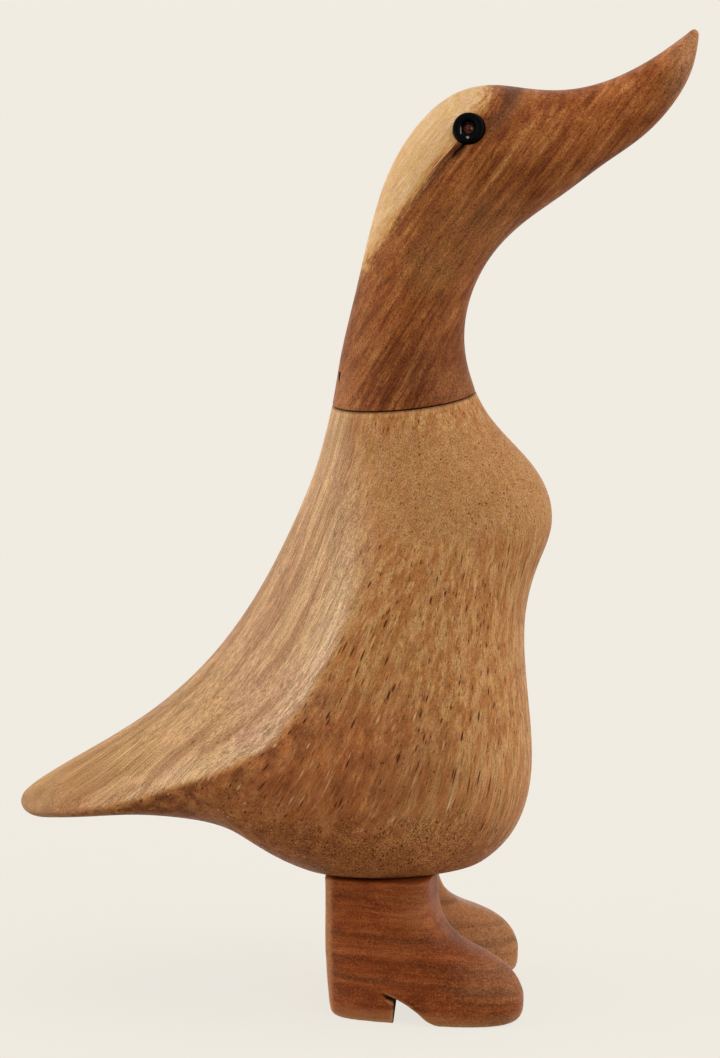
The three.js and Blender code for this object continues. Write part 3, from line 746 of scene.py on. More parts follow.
# ---------------------------------------------------------------- materials
def rgb(h, k=1.0):
    h = h.lstrip("#")
    v = [int(h[i:i + 2], 16) / 255 for i in (0, 2, 4)]
    return tuple(k * (x / 12.92 if x <= 0.04045 else ((x + 0.055) / 1.055) ** 2.4) for x in v) + (1.0,)


class Graph:
    """short hand for a node material"""

    def __init__(self, name):
        self.mat = bpy.data.materials.new(name)
        self.mat.use_nodes = True
        self.t = self.mat.node_tree
        self.t.nodes.clear()
        self.out = self.t.nodes.new("ShaderNodeOutputMaterial")
        self.bsdf = self.t.nodes.new("ShaderNodeBsdfPrincipled")
        self.t.links.new(self.bsdf.outputs["BSDF"], self.out.inputs["Surface"])
        self.count = 0

    def node(self, kind, sets=None, **inputs):
        n = self.t.nodes.new(kind)
        self.count += 1
        n.location = (-220 * (self.count % 30), 200 * (self.count // 30))
        for k, v in (sets or {}).items():
            setattr(n, k, v)
        for k, v in inputs.items():
            self.put(n.inputs[int(k[1:]) if k[0] == "i" and k[1:].isdigit() else k.replace("_", " ")], v)
        return n

    def put(self, socket, v):
        if isinstance(v, bpy.types.NodeSocket):
            self.t.links.new(v, socket)
        else:
            socket.default_value = v

    def attr(self, name, out="Fac"):
        return self.node("ShaderNodeAttribute", {"attribute_name": name}).outputs[out]

    def m(self, op, a, b=0.0, c=0.0, clamp=False):
        return self.node("ShaderNodeMath", {"operation": op, "use_clamp": clamp}, i0=a, i1=b, i2=c).outputs[0]

    def v(self, op, a, b=(0, 0, 0), scale=None):
        n = self.node("ShaderNodeVectorMath", {"operation": op}, i0=a, i1=b)
        if scale is not None:
            self.put(n.inputs["Scale"], scale)
        return n.outputs[0]

    def noise(self, vec, detail=2.0, rough=0.5, scale=1.0, dist=0.0, out=0):
        n = self.node("ShaderNodeTexNoise", {"noise_dimensions": "3D"}, Vector=vec, Scale=scale, Detail=detail, Roughness=rough,
                      Distortion=dist)
        return n.outputs[out]

    def voronoi(self, vec, rand=1.0, out="Distance", feature="F1"):
        n = self.node("ShaderNodeTexVoronoi", {"voronoi_dimensions": "3D", "feature": feature}, Vector=vec, Scale=1.0,
                      Randomness=rand)
        return n.outputs[out] if out != "both" else (n.outputs["Distance"], n.outputs["Color"])

    def ramp(self, fac, stops, interp="LINEAR"):
        n = self.node("ShaderNodeValToRGB", Fac=fac)
        cr = n.color_ramp
        cr.interpolation = interp
        while len(cr.elements) > 1:
            cr.elements.remove(cr.elements[-1])
        cr.elements[0].position, cr.elements[0].color = stops[0]
        for pos, col in stops[1:]:
            cr.elements.new(pos).color = col
        return n.outputs[0]

    def mix(self, fac, a, b, blend="MIX"):
        n = self.node("ShaderNodeMix", {"data_type": "RGBA", "blend_type": blend, "clamp_factor": True})
        self.put(n.inputs[0], fac)
        self.put(n.inputs[6], a)
        self.put(n.inputs[7], b)
        return n.outputs[2]

    def range(self, v, a, b, c=0.0, d=1.0, kind="SMOOTHSTEP"):
        n = self.node("ShaderNodeMapRange", {"interpolation_type": kind, "clamp": True})
        for i, x in enumerate((v, a, b, c, d)):
            self.put(n.inputs[i], x)
        return n.outputs[0]

    def sep(self, vec):
        n = self.node("ShaderNodeSeparateXYZ", Vector=vec)
        return n.outputs[0], n.outputs[1], n.outputs[2]

    def tint(self, col, vec):
        """colour times a vector"""
        return self.v("MULTIPLY", col, vec)

    def gain(self, col, *parts):
        """colour times 1 + sum of amount * (noise - 0.5), not below 0.25"""
        f = 1.0
        for amount, n in parts:
            f = self.m("ADD", f, self.m("MULTIPLY", amount, self.m("SUBTRACT", n, 0.5)))
        f = self.m("MAXIMUM", f, 0.25)
        return self.v("MULTIPLY", col, self.comb(f, f, f))

    def comb(self, x, y, z):
        return self.node("ShaderNodeCombineXYZ", i0=x, i1=y, i2=z).outputs[0]

    def finish(self, color, rough, height, distance, specular=0.5):
        self.put(self.bsdf.inputs["Base Color"], color)
        self.put(self.bsdf.inputs["Roughness"], rough)
        self.bsdf.inputs["Specular IOR Level"].default_value = specular
        if height is not None:
            b = self.node("ShaderNodeBump", Height=height, Strength=1.0, Distance=distance)
            self.t.links.new(b.outputs["Normal"], self.bsdf.inputs["Normal"])
        return self.mat


# how strongly each grain shows on the body, as a share of the ground colour: on the back, on the flank, where the ends show,
# and what the underside adds
AMP = {"streak": (0.62, 0.30), "fine": (1.15, 0.45), "short": 0.45, "fibre": (1.1, 0.85, 1.1), "grit": (1.5, 1.25, 1.9, 1.2),
       "hair": (1.5, 0.6)}


def root_wood():
    """pale brown root wood: long pale and brown fibres on the sanded back, brown pores that show as flecks along the flank and
    as dots across the chest and under the belly"""
    g = Graph("root_wood")
    P = g.attr("wood", "Vector")
    ridge, run = g.attr("ridge"), g.attr("run")
    place = g.attr("place", "Vector")
    x, y, z = g.sep(place)
    # slow and quick wandering of the fibres
    w1 = g.v("MULTIPLY", g.v("SUBTRACT", g.noise(g.v("MULTIPLY", P, (1 / 20, 1 / 20, 1 / 50)), 1.5, 0.5, out=1), (.5, .5, .5)), (4.0, 4.0, 0))
    P1 = g.v("ADD", P, w1)
    w2 = g.v("MULTIPLY", g.v("SUBTRACT", g.noise(g.v("MULTIPLY", P1, (1 / 3.4, 1 / 3.4, 1 / 26)), 1.0, 0.5, out=1), (.5, .5, .5)), (0.6, 0.6, 0))
    P2 = g.v("ADD", P1, w2)
    coarse = g.noise(g.v("MULTIPLY", P1, (1 / 4.2, 1 / 4.2, 1 / 75)), 1.5, 0.55)
    mott = g.noise(g.v("MULTIPLY", P1, (1 / 1.9, 1 / 1.9, 1 / 13)), 1.5, 0.6)
    streak = g.noise(g.v("MULTIPLY", P1, (1 / 0.95, 1 / 0.95, 1 / 70)), 1.5, 0.55)
    fine_long = g.noise(g.v("MULTIPLY", P1, (1 / 0.36, 1 / 0.36, 1 / 40)), 1.5, 0.6)
    hair_long = g.noise(g.v("MULTIPLY", P1, (1 / 0.2, 1 / 0.2, 1 / 13)), 1.0, 0.5)
    short = g.noise(g.v("MULTIPLY", P2, (1 / 0.75, 1 / 0.75, 1 / 6.5)), 1.5, 0.55)
    fine = g.noise(g.v("MULTIPLY", P2, (1 / 0.38, 1 / 0.38, 1 / 16)), 1.5, 0.6)
    fibre = g.noise(g.v("MULTIPLY", P2, (1 / 0.34, 1 / 0.34, 1 / 3.2)), 1.5, 0.6)
    hair = g.noise(g.v("MULTIPLY", P2, (1 / 0.2, 1 / 0.2, 1 / 5)), 1.0, 0.5)
    grit = g.noise(g.v("MULTIPLY", place, (1 / 0.30, 1 / 0.30, 1 / 0.36)), 1.0, 0.5)
    blot = g.noise(g.v("MULTIPLY", place, (1 / 5.0, 1 / 5.0, 1 / 6.0)), 2.5, 0.6)
    hue = g.noise(g.v("MULTIPLY", g.v("ADD", P1, (7.7, 1.9, 4.1)), (1 / 1.7, 1 / 1.7, 1 / 7)), 1.5, 0.6)
    hue_wide = g.noise(g.v("MULTIPLY", g.v("ADD", P1, (2.7, 9.1, 0.4)), (1 / 3.0, 1 / 3.0, 1 / 45)), 1.5, 0.6)
    # where the fibre ends show: the breast above the break in slope, the underside; there the pores are dots
    zb = g.m("ADD", z, g.m("MULTIPLY", g.m("SUBTRACT", blot, 0.5), 12.0))
    chest = g.m("MULTIPLY", g.m("MULTIPLY", g.range(zb, 127, 134), g.range(zb, 162, 153)), g.range(ridge, 3.0, 11.0))
    under = g.range(g.m("ADD", z, g.m("MULTIPLY", g.m("SUBTRACT", blot, 0.5), 30.0)), 62, 50)
    under = g.m("MULTIPLY", under, g.m("MULTIPLY", g.range(x, 36, 26), g.range(x, -66, -42)))
    ends = g.m("MAXIMUM", chest, under)
    wander = g.m("MULTIPLY", g.m("SUBTRACT", mott, 0.5), 5.0)
    onflank = g.range(g.m("ADD", ridge, wander), g.range(z, 96, 130, -1.2, -5.0), g.range(z, 96, 130, 1.4, 10.0))
    onflank = g.m("MULTIPLY", onflank, g.range(x, -86, -72))
    # the four grounds
    flank = g.mix(g.range(mott, 0.38, 0.64), rgb("#ad7342"), rgb("#c0905c"))
    breast = g.mix(g.m("MULTIPLY_ADD", g.range(blot, 0.36, 0.64), 0.4, g.m("MULTIPLY", g.range(mott, 0.38, 0.62), 0.6)), rgb("#ac7a4b"), rgb("#b78757"))
    flank = g.mix(g.m("MULTIPLY", ends, 0.9), flank, breast)
    back = g.mix(g.range(coarse, 0.36, 0.64), rgb("#ae8560"), rgb("#c8a278"))
    tail = g.mix(g.range(coarse, 0.38, 0.62), rgb("#b08759"), rgb("#be9566"))
    back = g.mix(g.range(run, 0.74, 0.90), back, tail)
    crest = g.m("MULTIPLY", g.range(ridge, -12.0, -2.5), g.m("MULTIPLY", g.range(run, 0.14, 0.36), g.range(x, -82, -60)))
    crest = g.m("MULTIPLY", crest, g.m("MULTIPLY_ADD", g.range(streak, 0.4, 0.6), 0.40, 0.16))
    back = g.mix(crest, back, rgb("#e0c29f"))
    worn = g.m("MULTIPLY", g.range(run, 0.30, 0.58), g.range(run, 0.97, 0.86))
    back = g.tint(back, g.comb(g.m("MULTIPLY_ADD", worn, -0.07, 1.0), g.m("MULTIPLY_ADD", worn, -0.11, 1.0), g.m("MULTIPLY_ADD", worn, -0.07, 1.0)))
    worn = g.range(x, -73, -87)
    back = g.tint(back, g.comb(g.m("MULTIPLY_ADD", worn, 0.09, 1.0), g.m("MULTIPLY_ADD", worn, 0.17, 1.0), g.m("MULTIPLY_ADD", worn, 0.26, 1.0)))
    col = g.mix(onflank, back, flank)
    # rubbed pale at the tail's tip, warmer before it
    tip = g.m("MULTIPLY", g.range(x, -70, -87), g.m("MULTIPLY_ADD", g.range(z, 57, 51.5), 1.1, 0.2))
    col = g.tint(col, g.comb(g.m("MULTIPLY_ADD", tip, 0.16, 1.0), g.m("MULTIPLY_ADD", tip, 0.32, 1.0), g.m("MULTIPLY_ADD", tip, 0.50, 1.0)))
    warm = g.m("MULTIPLY", g.m("MULTIPLY", g.range(x, -70, -61), g.range(x, -28, -38)), g.range(z, 100, 86))
    col = g.tint(col, g.comb(g.m("MULTIPLY_ADD", warm, -0.02, 1.0), g.m("MULTIPLY_ADD", warm, -0.02, 1.0), g.m("MULTIPLY_ADD", warm, -0.13, 1.0)))
    # darker and redder under the ridge and the belly: partly redder wood, partly painted shade on the faces turned down
    # from the light; paler along the front, partly painted light
    below = g.m("MULTIPLY", g.range(z, 104, 74), g.range(ridge, -1.0, 3.0))
    below = g.m("MULTIPLY", below, g.m("MULTIPLY", g.range(x, 34, 0), g.range(x, -76, -56)))
    belly = g.m("MULTIPLY", g.range(z, 70, 44), g.range(x, 50, 30))
    low = g.m("MAXIMUM", below, g.m("MULTIPLY", belly, 0.95))
    shade = g.ramp(g.m("MULTIPLY_ADD", blot, 0.6, g.m("MULTIPLY", mott, 0.4)), [(0.34, rgb("#7d4223")), (0.5, rgb("#9b5830")), (0.66, rgb("#b06d3e"))])
    col = g.mix(g.m("MULTIPLY", low, 0.76), col, shade)
    # painted shadow: a dark brown band right under the back's ridge, where the ridge overhangs the flank
    ridge_shadow = g.m("MULTIPLY", g.m("MULTIPLY", g.range(ridge, 0.2, 2.4), g.range(ridge, 11.0, 3.0)), g.m("MULTIPLY", g.range(z, 104, 86), g.range(x, -74, -58)))
    ridge_shadow = g.m("MULTIPLY", ridge_shadow, g.range(blot, 0.62, 0.42))
    col = g.mix(g.m("MULTIPLY", ridge_shadow, 0.48), col, rgb("#643a1f"))
    # partly painted light: a little paler along the front edge of the breast
    front = g.m("MULTIPLY", g.range(x, 38, 50), onflank)
    col = g.mix(g.m("MULTIPLY", front, 0.12), col, rgb("#c09566"))
    # lights and darks of the fibres, and a drift between golden and pinkish
    notends = g.m("SUBTRACT", 1.0, ends)
    onback = g.m("MULTIPLY", g.m("SUBTRACT", 1.0, onflank), g.range(x, -86, -58, 0.40, 1.0))
    flat = g.m("MULTIPLY", onflank, notends)
    col = g.gain(col, (g.m("MULTIPLY_ADD", onback, AMP["streak"][0], g.m("MULTIPLY", flat, AMP["streak"][1])), streak),
                 (g.m("MULTIPLY", onback, AMP["fine"][0]), fine_long), (g.m("MULTIPLY", flat, AMP["fine"][1]), fine),
                 (g.m("MULTIPLY", flat, AMP["short"]), short),
                 (g.m("MULTIPLY", onback, AMP["hair"][0]), hair_long), (g.m("MULTIPLY", flat, AMP["hair"][1]), hair),
                 (g.m("MULTIPLY_ADD", flat, AMP["fibre"][0], g.m("MULTIPLY_ADD", under, AMP["fibre"][2], g.m("MULTIPLY", ends, AMP["fibre"][1]))), fibre),
                 (g.m("MULTIPLY_ADD", onback, AMP["grit"][0], g.m("MULTIPLY_ADD", flat, AMP["grit"][1],
                                                                 g.m("MULTIPLY_ADD", under, AMP["grit"][3], g.m("MULTIPLY", ends, AMP["grit"][2])))), grit))
    h = g.m("MULTIPLY", g.m("SUBTRACT", hue, 0.5), g.m("MULTIPLY_ADD", onflank, 0.55, 0.35))
    h = g.m("ADD", h, g.m("MULTIPLY", g.m("SUBTRACT", hue_wide, 0.5), g.m("MULTIPLY_ADD", onback, 0.25, 0.3)))
    col = g.tint(col, g.comb(g.m("MULTIPLY_ADD", h, 0.10, 1.0), g.m("MULTIPLY_ADD", h, -0.08, 1.0), g.m("MULTIPLY_ADD", h, 0.40, 1.0)))
    # pale streaks, long and soft
    dC, cC = g.voronoi(g.v("MULTIPLY", g.v("ADD", P2, (3.1, 8.7, 2.2)), (1 / 1.0, 1 / 1.0, 1 / 17)), out="both")
    cr, cr2, _ = g.sep(cC)
    pale = g.m("MULTIPLY", g.range(dC, g.range(cr2, 0, 1, 0.12, 0.36, "LINEAR"), 0.03), g.range(cr, 0.45, 0.8))
    pale = g.m("MULTIPLY", pale, g.m("MULTIPLY_ADD", ends, -0.85, 1.0))
    col = g.mix(g.m("MULTIPLY", pale, g.m("MULTIPLY_ADD", onflank, 0.30, 0.50)), col, rgb("#dfbd92"))
    # short cream fibres just under the neck joint
    dG, cG = g.voronoi(g.v("MULTIPLY", g.v("ADD", P2, (1.1, 2.7, 7.2)), (1 / 0.6, 1 / 0.6, 1 / 7)), out="both")
    gr, gr2, _ = g.sep(cG)
    cream = g.m("MULTIPLY", g.range(dG, g.range(gr2, 0, 1, 0.12, 0.40, "LINEAR"), 0.05), g.range(gr, 0.5, 0.8))
    cream = g.m("MULTIPLY", cream, g.m("MULTIPLY", g.range(z, 147, 157), onflank))
    col = g.mix(g.m("MULTIPLY", cream, 0.55), col, rgb("#e3c6a0"))
    # thin brown and cream lines along the back
    dH, cH = g.voronoi(g.v("MULTIPLY", g.v("ADD", P1, (9.3, 4.4, 3.8)), (1 / 1.3, 1 / 1.3, 1 / 38)), out="both")
    hr, hr2, _ = g.sep(cH)
    thin = g.m("MULTIPLY", g.range(dH, g.range(hr2, 0, 1, 0.08, 0.22, "LINEAR"), 0.02), g.range(hr, 0.4, 0.8))
    col = g.mix(g.m("MULTIPLY", g.m("MULTIPLY", thin, onback), 0.70), col, rgb("#8a5439"))
    thread = g.m("MULTIPLY", g.range(dH, g.range(hr2, 0, 1, 0.10, 0.30, "LINEAR"), 0.02), g.range(hr, 0.42, 0.18))
    col = g.mix(g.m("MULTIPLY", g.m("MULTIPLY", thread, onback), 0.75), col, rgb("#e6caa4"))
    # pores that run along the surface: dark flecks
    dA, cA = g.voronoi(g.v("MULTIPLY", P2, (1 / 0.85, 1 / 0.85, 1 / 11)), out="both")
    ra, rb, rc = g.sep(cA)
    poreA = g.range(g.m("SUBTRACT", dA, g.range(ra, 0.0, 1.0, 0.05, 0.24, "LINEAR")), 0.09, -0.05)
    patch = g.range(g.noise(g.v("MULTIPLY", P1, (1 / 5.5, 1 / 5.5, 1 / 13)), 1.0, 0.5), 0.38, 0.56)
    poreA = g.m("MULTIPLY", poreA, g.m("MULTIPLY", g.range(rb, 0.1, 0.8), g.m("MULTIPLY_ADD", patch, 0.5, 0.5)))
    dD, cD = g.voronoi(g.v("MULTIPLY", g.v("ADD", P2, (5.7, 2.3, 9.4)), (1 / 0.6, 1 / 0.6, 1 / 3.4)), out="both")
    rd, re, _ = g.sep(cD)
    poreD = g.m("MULTIPLY", g.range(g.m("SUBTRACT", dD, g.range(rd, 0.0, 1.0, 0.04, 0.20, "LINEAR")), 0.10, -0.04), g.range(re, 0.3, 1.0))
    run_pores = g.m("MAXIMUM", poreA, g.m("MULTIPLY", poreD, 0.95))
    run_pores = g.m("MULTIPLY", run_pores, g.m("MULTIPLY_ADD", onflank, 0.68, 0.20))
    # fewer, longer and darker pores with a red-brown edge round each
    dL, cL = g.voronoi(g.v("MULTIPLY", g.v("ADD", P2, (2.2, 7.3, 6.1)), (1 / 1.35, 1 / 1.35, 1 / 15)), out="both")
    la, lb, _ = g.sep(cL)
    thick = g.range(la, 0.0, 1.0, 0.05, 0.20, "LINEAR")
    onlong = g.m("MULTIPLY", g.m("MULTIPLY", onflank, notends), g.range(lb, 0.05, 0.45))
    col = g.mix(g.m("MULTIPLY", g.m("MULTIPLY", g.range(dL, 0.40, 0.10), onlong), 0.42), col, rgb("#8c4c29"))
    poreL = g.m("MULTIPLY", g.range(g.m("SUBTRACT", dL, thick), 0.05, -0.05), onlong)
    run_pores = g.m("MAXIMUM", run_pores, g.m("MULTIPLY", poreL, 0.92))
    # pores cut across: dots
    dE, cE = g.voronoi(g.v("MULTIPLY", g.v("ADD", place, (4.4, 6.1, 1.3)), (1 / 0.92, 1 / 0.92, 1 / 1.12)), out="both")
    rf, rg, _ = g.sep(cE)
    dots = g.m("MULTIPLY", g.range(g.m("SUBTRACT", dE, g.range(rf, 0.0, 1.0, 0.08, g.m("MULTIPLY_ADD", under, 0.10, 0.24), "LINEAR")), 0.12, -0.05),
               g.range(rg, 0.1, 0.9))
    pores = g.m("ADD", g.m("MULTIPLY", run_pores, g.m("MULTIPLY_ADD", under, 0.5, notends)), g.m("MULTIPLY", g.m("MULTIPLY", dots, ends), 0.85))
    # a thick patch of short pores low on the flank
    knot = g.v("MULTIPLY", g.v("SUBTRACT", place, (12.5, 0, 70.5)), (1 / 15, 0, 1 / 9))
    knot = g.node("ShaderNodeVectorMath", {"operation": "LENGTH"}, i0=knot).outputs["Value"]
    knot = g.range(g.m("ADD", knot, g.m("MULTIPLY", g.m("SUBTRACT", blot, 0.5), 2.2)), 1.15, 0.55)
    pores = g.m("MAXIMUM", pores, g.m("MULTIPLY", g.m("MULTIPLY", g.m("MAXIMUM", dots, poreD), knot), 0.85))
    col = g.mix(g.m("MULTIPLY", knot, 0.25), col, rgb("#8a5430"))
    col = g.mix(pores, col, rgb("#4c2412"))
    # pale specks among the dots under the belly
    dK, cK = g.voronoi(g.v("MULTIPLY", g.v("ADD", place, (8.1, 3.3, 5.9)), (1 / 1.25, 1 / 1.25, 1 / 1.25)), out="both")
    kr, kr2, _ = g.sep(cK)
    speck = g.m("MULTIPLY", g.range(dK, g.range(kr2, 0, 1, 0.12, 0.30, "LINEAR"), 0.06), g.range(kr, 0.45, 0.8))
    col = g.mix(g.m("MULTIPLY", g.m("MULTIPLY", speck, ends), g.m("MULTIPLY_ADD", under, 0.6, 0.3)), col, rgb("#d8b084"))
    # painted light: the belly's underside a little lighter and warmer towards the front
    lift = g.m("MULTIPLY", g.m("MULTIPLY", under, g.range(x, -22, 2)), 0.09)
    col = g.tint(col, g.comb(g.m("ADD", lift, 1.0), g.m("ADD", lift, 1.0), 1.0))
    seam = g.m("ADD", g.m("MULTIPLY_ADD", z, 0.995, -160.81), g.m("MULTIPLY", x, -0.0997))
    col = g.mix(g.m("MULTIPLY", g.range(g.m("ABSOLUTE", g.m("ADD", seam, 0.85)), 0.5, 0.2), 0.08), col, rgb("#ddba8c"))
    col = g.mix(g.m("MULTIPLY", g.range(seam, -0.5, -0.15), 0.45), col, rgb("#4a2a18"))
    rough = g.m("ADD", g.m("MULTIPLY_ADD", fine, 0.12, 0.52), g.m("MULTIPLY", pores, 0.2))
    height = g.m("SUBTRACT", g.m("ADD", g.m("MULTIPLY", fine, 0.14), g.m("MULTIPLY", grit, 0.12)), g.m("MULTIPLY", pores, 0.7))
    return g.finish(col, rough, height, 0.00011, 0.08)


def head_wood_mat():
    """two-tone timber: pale sapwood over the back of the head, banded red-brown heartwood below it"""
    g = Graph("head_wood")
    P = g.attr("wood", "Vector")
    place = g.attr("place", "Vector")
    x, y, z = g.sep(place)
    w1 = g.v("MULTIPLY", g.v("SUBTRACT", g.noise(g.v("MULTIPLY", P, (1 / 14, 1 / 14, 1 / 40)), 1.5, 0.5, out=1), (.5, .5, .5)), (2.4, 2.4, 0))
    P1 = g.v("ADD", P, w1)
    w2 = g.v("MULTIPLY", g.v("SUBTRACT", g.noise(g.v("MULTIPLY", P1, (1 / 2.5, 1 / 2.5, 1 / 9)), 1.0, 0.5, out=1), (.5, .5, .5)), (0.45, 0.45, 0))
    P2 = g.v("ADD", P1, w2)
    a, _, l = g.sep(g.v("ADD", g.attr("layer", "Vector"), g.v("MULTIPLY", w1, (0.6, 0.6, 0))))
    band = g.noise(g.v("MULTIPLY", P1, (1 / 2.6, 1 / 22, 1 / 60)), 2.0, 0.55)
    band2 = g.noise(g.v("MULTIPLY", P2, (1 / 0.85, 1 / 3, 1 / 18)), 2.0, 0.6)
    fine = g.noise(g.v("MULTIPLY", P2, (1 / 0.36, 1 / 0.36, 1 / 4)), 1.5, 0.6)
    grit = g.noise(g.v("MULTIPLY", place, (1 / 0.36, 1 / 0.36, 1 / 0.45)), 1.0, 0.5)
    short = g.noise(g.v("MULTIPLY", g.v("ADD", P2, (3.3, 1.2, 8.8)), (1 / 0.5, 1 / 0.5, 1 / 2.0)), 1.5, 0.6)
    hue = g.noise(g.v("MULTIPLY", g.v("ADD", P1, (5.1, 2.6, 3.9)), (1 / 1.6, 1 / 1.6, 1 / 8)), 1.5, 0.6)
    cloud = g.noise(g.v("MULTIPLY", P1, (1 / 5, 1 / 5, 1 / 9)), 2.0, 0.55)
    mixf = g.m("ADD", g.m("ADD", g.m("MULTIPLY", band, 0.36), g.m("MULTIPLY", band2, 0.36)), g.m("MULTIPLY", cloud, 0.28))
    heart = g.ramp(mixf, [(0.34, rgb("#602c13")), (0.43, rgb("#7f4420")), (0.50, rgb("#96572b")), (0.57, rgb("#a86938")),
                          (0.67, rgb("#c08a54"))])
    soft = g.v("MULTIPLY", g.v("SUBTRACT", place, (31, 0, 212)), (1 / 15, 0, 1 / 10))
    soft = g.node("ShaderNodeVectorMath", {"operation": "LENGTH"}, i0=soft).outputs["Value"]
    soft = g.range(g.m("ADD", soft, g.m("MULTIPLY", g.m("SUBTRACT", band2, 0.5), 1.2)), 1.3, 0.2)
    heart = g.mix(g.m("MULTIPLY", soft, 0.26), heart, rgb("#b58050"))
    glow = g.v("MULTIPLY", g.v("SUBTRACT", place, (20.5, 0, 200)), (1 / 9, 0, 1 / 8.5))
    glow = g.node("ShaderNodeVectorMath", {"operation": "LENGTH"}, i0=glow).outputs["Value"]
    glow = g.range(g.m("ADD", glow, g.m("MULTIPLY", g.m("SUBTRACT", band2, 0.5), 1.2)), 1.3, 0.2)
    heart = g.mix(g.m("MULTIPLY", glow, 0.32), heart, rgb("#b7834f"))
    sap = g.ramp(g.m("ADD", g.m("MULTIPLY", mixf, 0.5), g.m("ADD", g.m("MULTIPLY", band2, 0.3), g.m("MULTIPLY", fine, 0.2))),
                 [(0.37, rgb("#c5955f")), (0.46, rgb("#cca26e")), (0.54, rgb("#d2ab7d")), (0.64, rgb("#dabb92"))])
    sap = g.tint(sap, g.comb(1.04, 1.05, 1.04))
    over = g.range(l, 0, 8)
    ragged = g.m("ADD", g.m("MULTIPLY", g.m("SUBTRACT", band2, 0.5), 4.5), g.m("MULTIPLY", g.m("SUBTRACT", fine, 0.5), 2.0))
    edge = g.m("ADD", a, g.m("MULTIPLY", ragged, g.m("MULTIPLY_ADD", over, 0.7, 0.75)))
    sap = g.mix(g.range(edge, 2.4, 0.2, 0.0, 0.65), sap, rgb("#c0803a"))
    col = g.mix(g.range(edge, g.m("MULTIPLY_ADD", over, -1.3, -1.1), g.m("MULTIPLY_ADD", over, 0.9, 0.8)), heart, sap)
    # dark brown streak that follows the boundary back from the eye, and a greyer one over the brow
    line = g.m("MULTIPLY", g.range(edge, -2.6, -0.6), g.range(edge, 0.9, -0.2))
    near_eye = g.m("MULTIPLY", g.range(l, -26, -8), g.range(l, 0.5, -2.5))
    col = g.mix(g.m("MULTIPLY", g.m("MULTIPLY", line, g.m("MULTIPLY_ADD", near_eye, 0.65, 0.18)), 1.0), col, rgb("#5a2d12"))
    brow = g.m("MULTIPLY", g.range(g.m("ABSOLUTE", g.m("ADD", edge, 5.2)), 3.2, 0.8), g.range(l, 4.0, 10))
    col = g.mix(g.m("MULTIPLY", brow, 0.7), col, rgb("#583626"))
    # darker towards the foot of the neck
    foot = g.m("MULTIPLY", g.range(z, 200, 168), g.range(x, 6, 22))
    col = g.mix(g.m("MULTIPLY", foot, 0.48), col, rgb("#6b3a22"))
    # painted shade: darker down the back of the neck above the joint
    nape_shade = g.m("MULTIPLY", g.range(x, 9, -4), g.m("MULTIPLY", g.range(z, 200, 185), g.range(z, 170, 178)))
    col = g.mix(g.m("MULTIPLY", nape_shade, 0.38), col, rgb("#6a4022"))
    core = g.m("MULTIPLY", g.m("MULTIPLY", g.range(x, 1, 8), g.range(x, 23, 15)), g.range(z, 186, 173))
    core = g.m("MULTIPLY", core, g.m("MULTIPLY_ADD", g.range(band2, 0.35, 0.65), -0.35, 0.60))
    col = g.mix(core, col, rgb("#562610"))
    rub = g.m("MULTIPLY", g.m("MAXIMUM", g.m("MULTIPLY", g.range(x, 4, -3), 0.32), g.m("MULTIPLY", g.range(x, 18, 25), 0.22)), g.range(z, 176, 169))
    col = g.mix(rub, col, rgb("#a8744a"))
    col = g.tint(col, g.comb(0.99, g.m("SUBTRACT", 1.0, g.m("MULTIPLY", g.range(x, 40, 60), 0.07)), g.m("SUBTRACT", 1.0, g.m("MULTIPLY", g.range(x, 40, 60), 0.08))))
    tip = g.range(x, 77, 89)
    col = g.mix(g.m("MULTIPLY", tip, 0.50), col, rgb("#c0936b"))
    # fine light and dark
    onheart = g.range(edge, 0.8, -0.8)
    col = g.gain(col, (g.m("MULTIPLY_ADD", onheart, 0.65, 0.25), fine), (g.m("MULTIPLY_ADD", onheart, 1.15, 0.70), grit),
                 (g.m("MULTIPLY_ADD", onheart, 0.60, 0.22), short))
    t = g.m("SUBTRACT", hue, 0.5)
    col = g.tint(col, g.comb(g.m("MULTIPLY_ADD", t, 0.10, 1.0), g.m("MULTIPLY_ADD", t, -0.12, 1.0), g.m("MULTIPLY_ADD", t, 0.6, 1.0)))
    dA, cA = g.voronoi(g.v("MULTIPLY", P2, (1 / 0.62, 1 / 0.62, 1 / 3.6)), out="both")
    ra, rb, _ = g.sep(cA)
    pores = g.m("MULTIPLY", g.range(g.m("SUBTRACT", dA, g.range(ra, 0, 1, 0.04, 0.20, "LINEAR")), 0.10, -0.04), g.range(rb, 0.2, 1.0))
    pores = g.m("MULTIPLY", pores, g.m("MULTIPLY_ADD", onheart, 0.72, 0.06))
    col = g.mix(pores, col, rgb("#3a1a0c"))
    seam = g.m("ADD", g.m("MULTIPLY_ADD", z, 0.995, -160.81), g.m("MULTIPLY", x, -0.0997))
    col = g.mix(g.m("MULTIPLY", g.range(seam, 0.6, 0.15), 0.62), col, rgb("#33190f"))
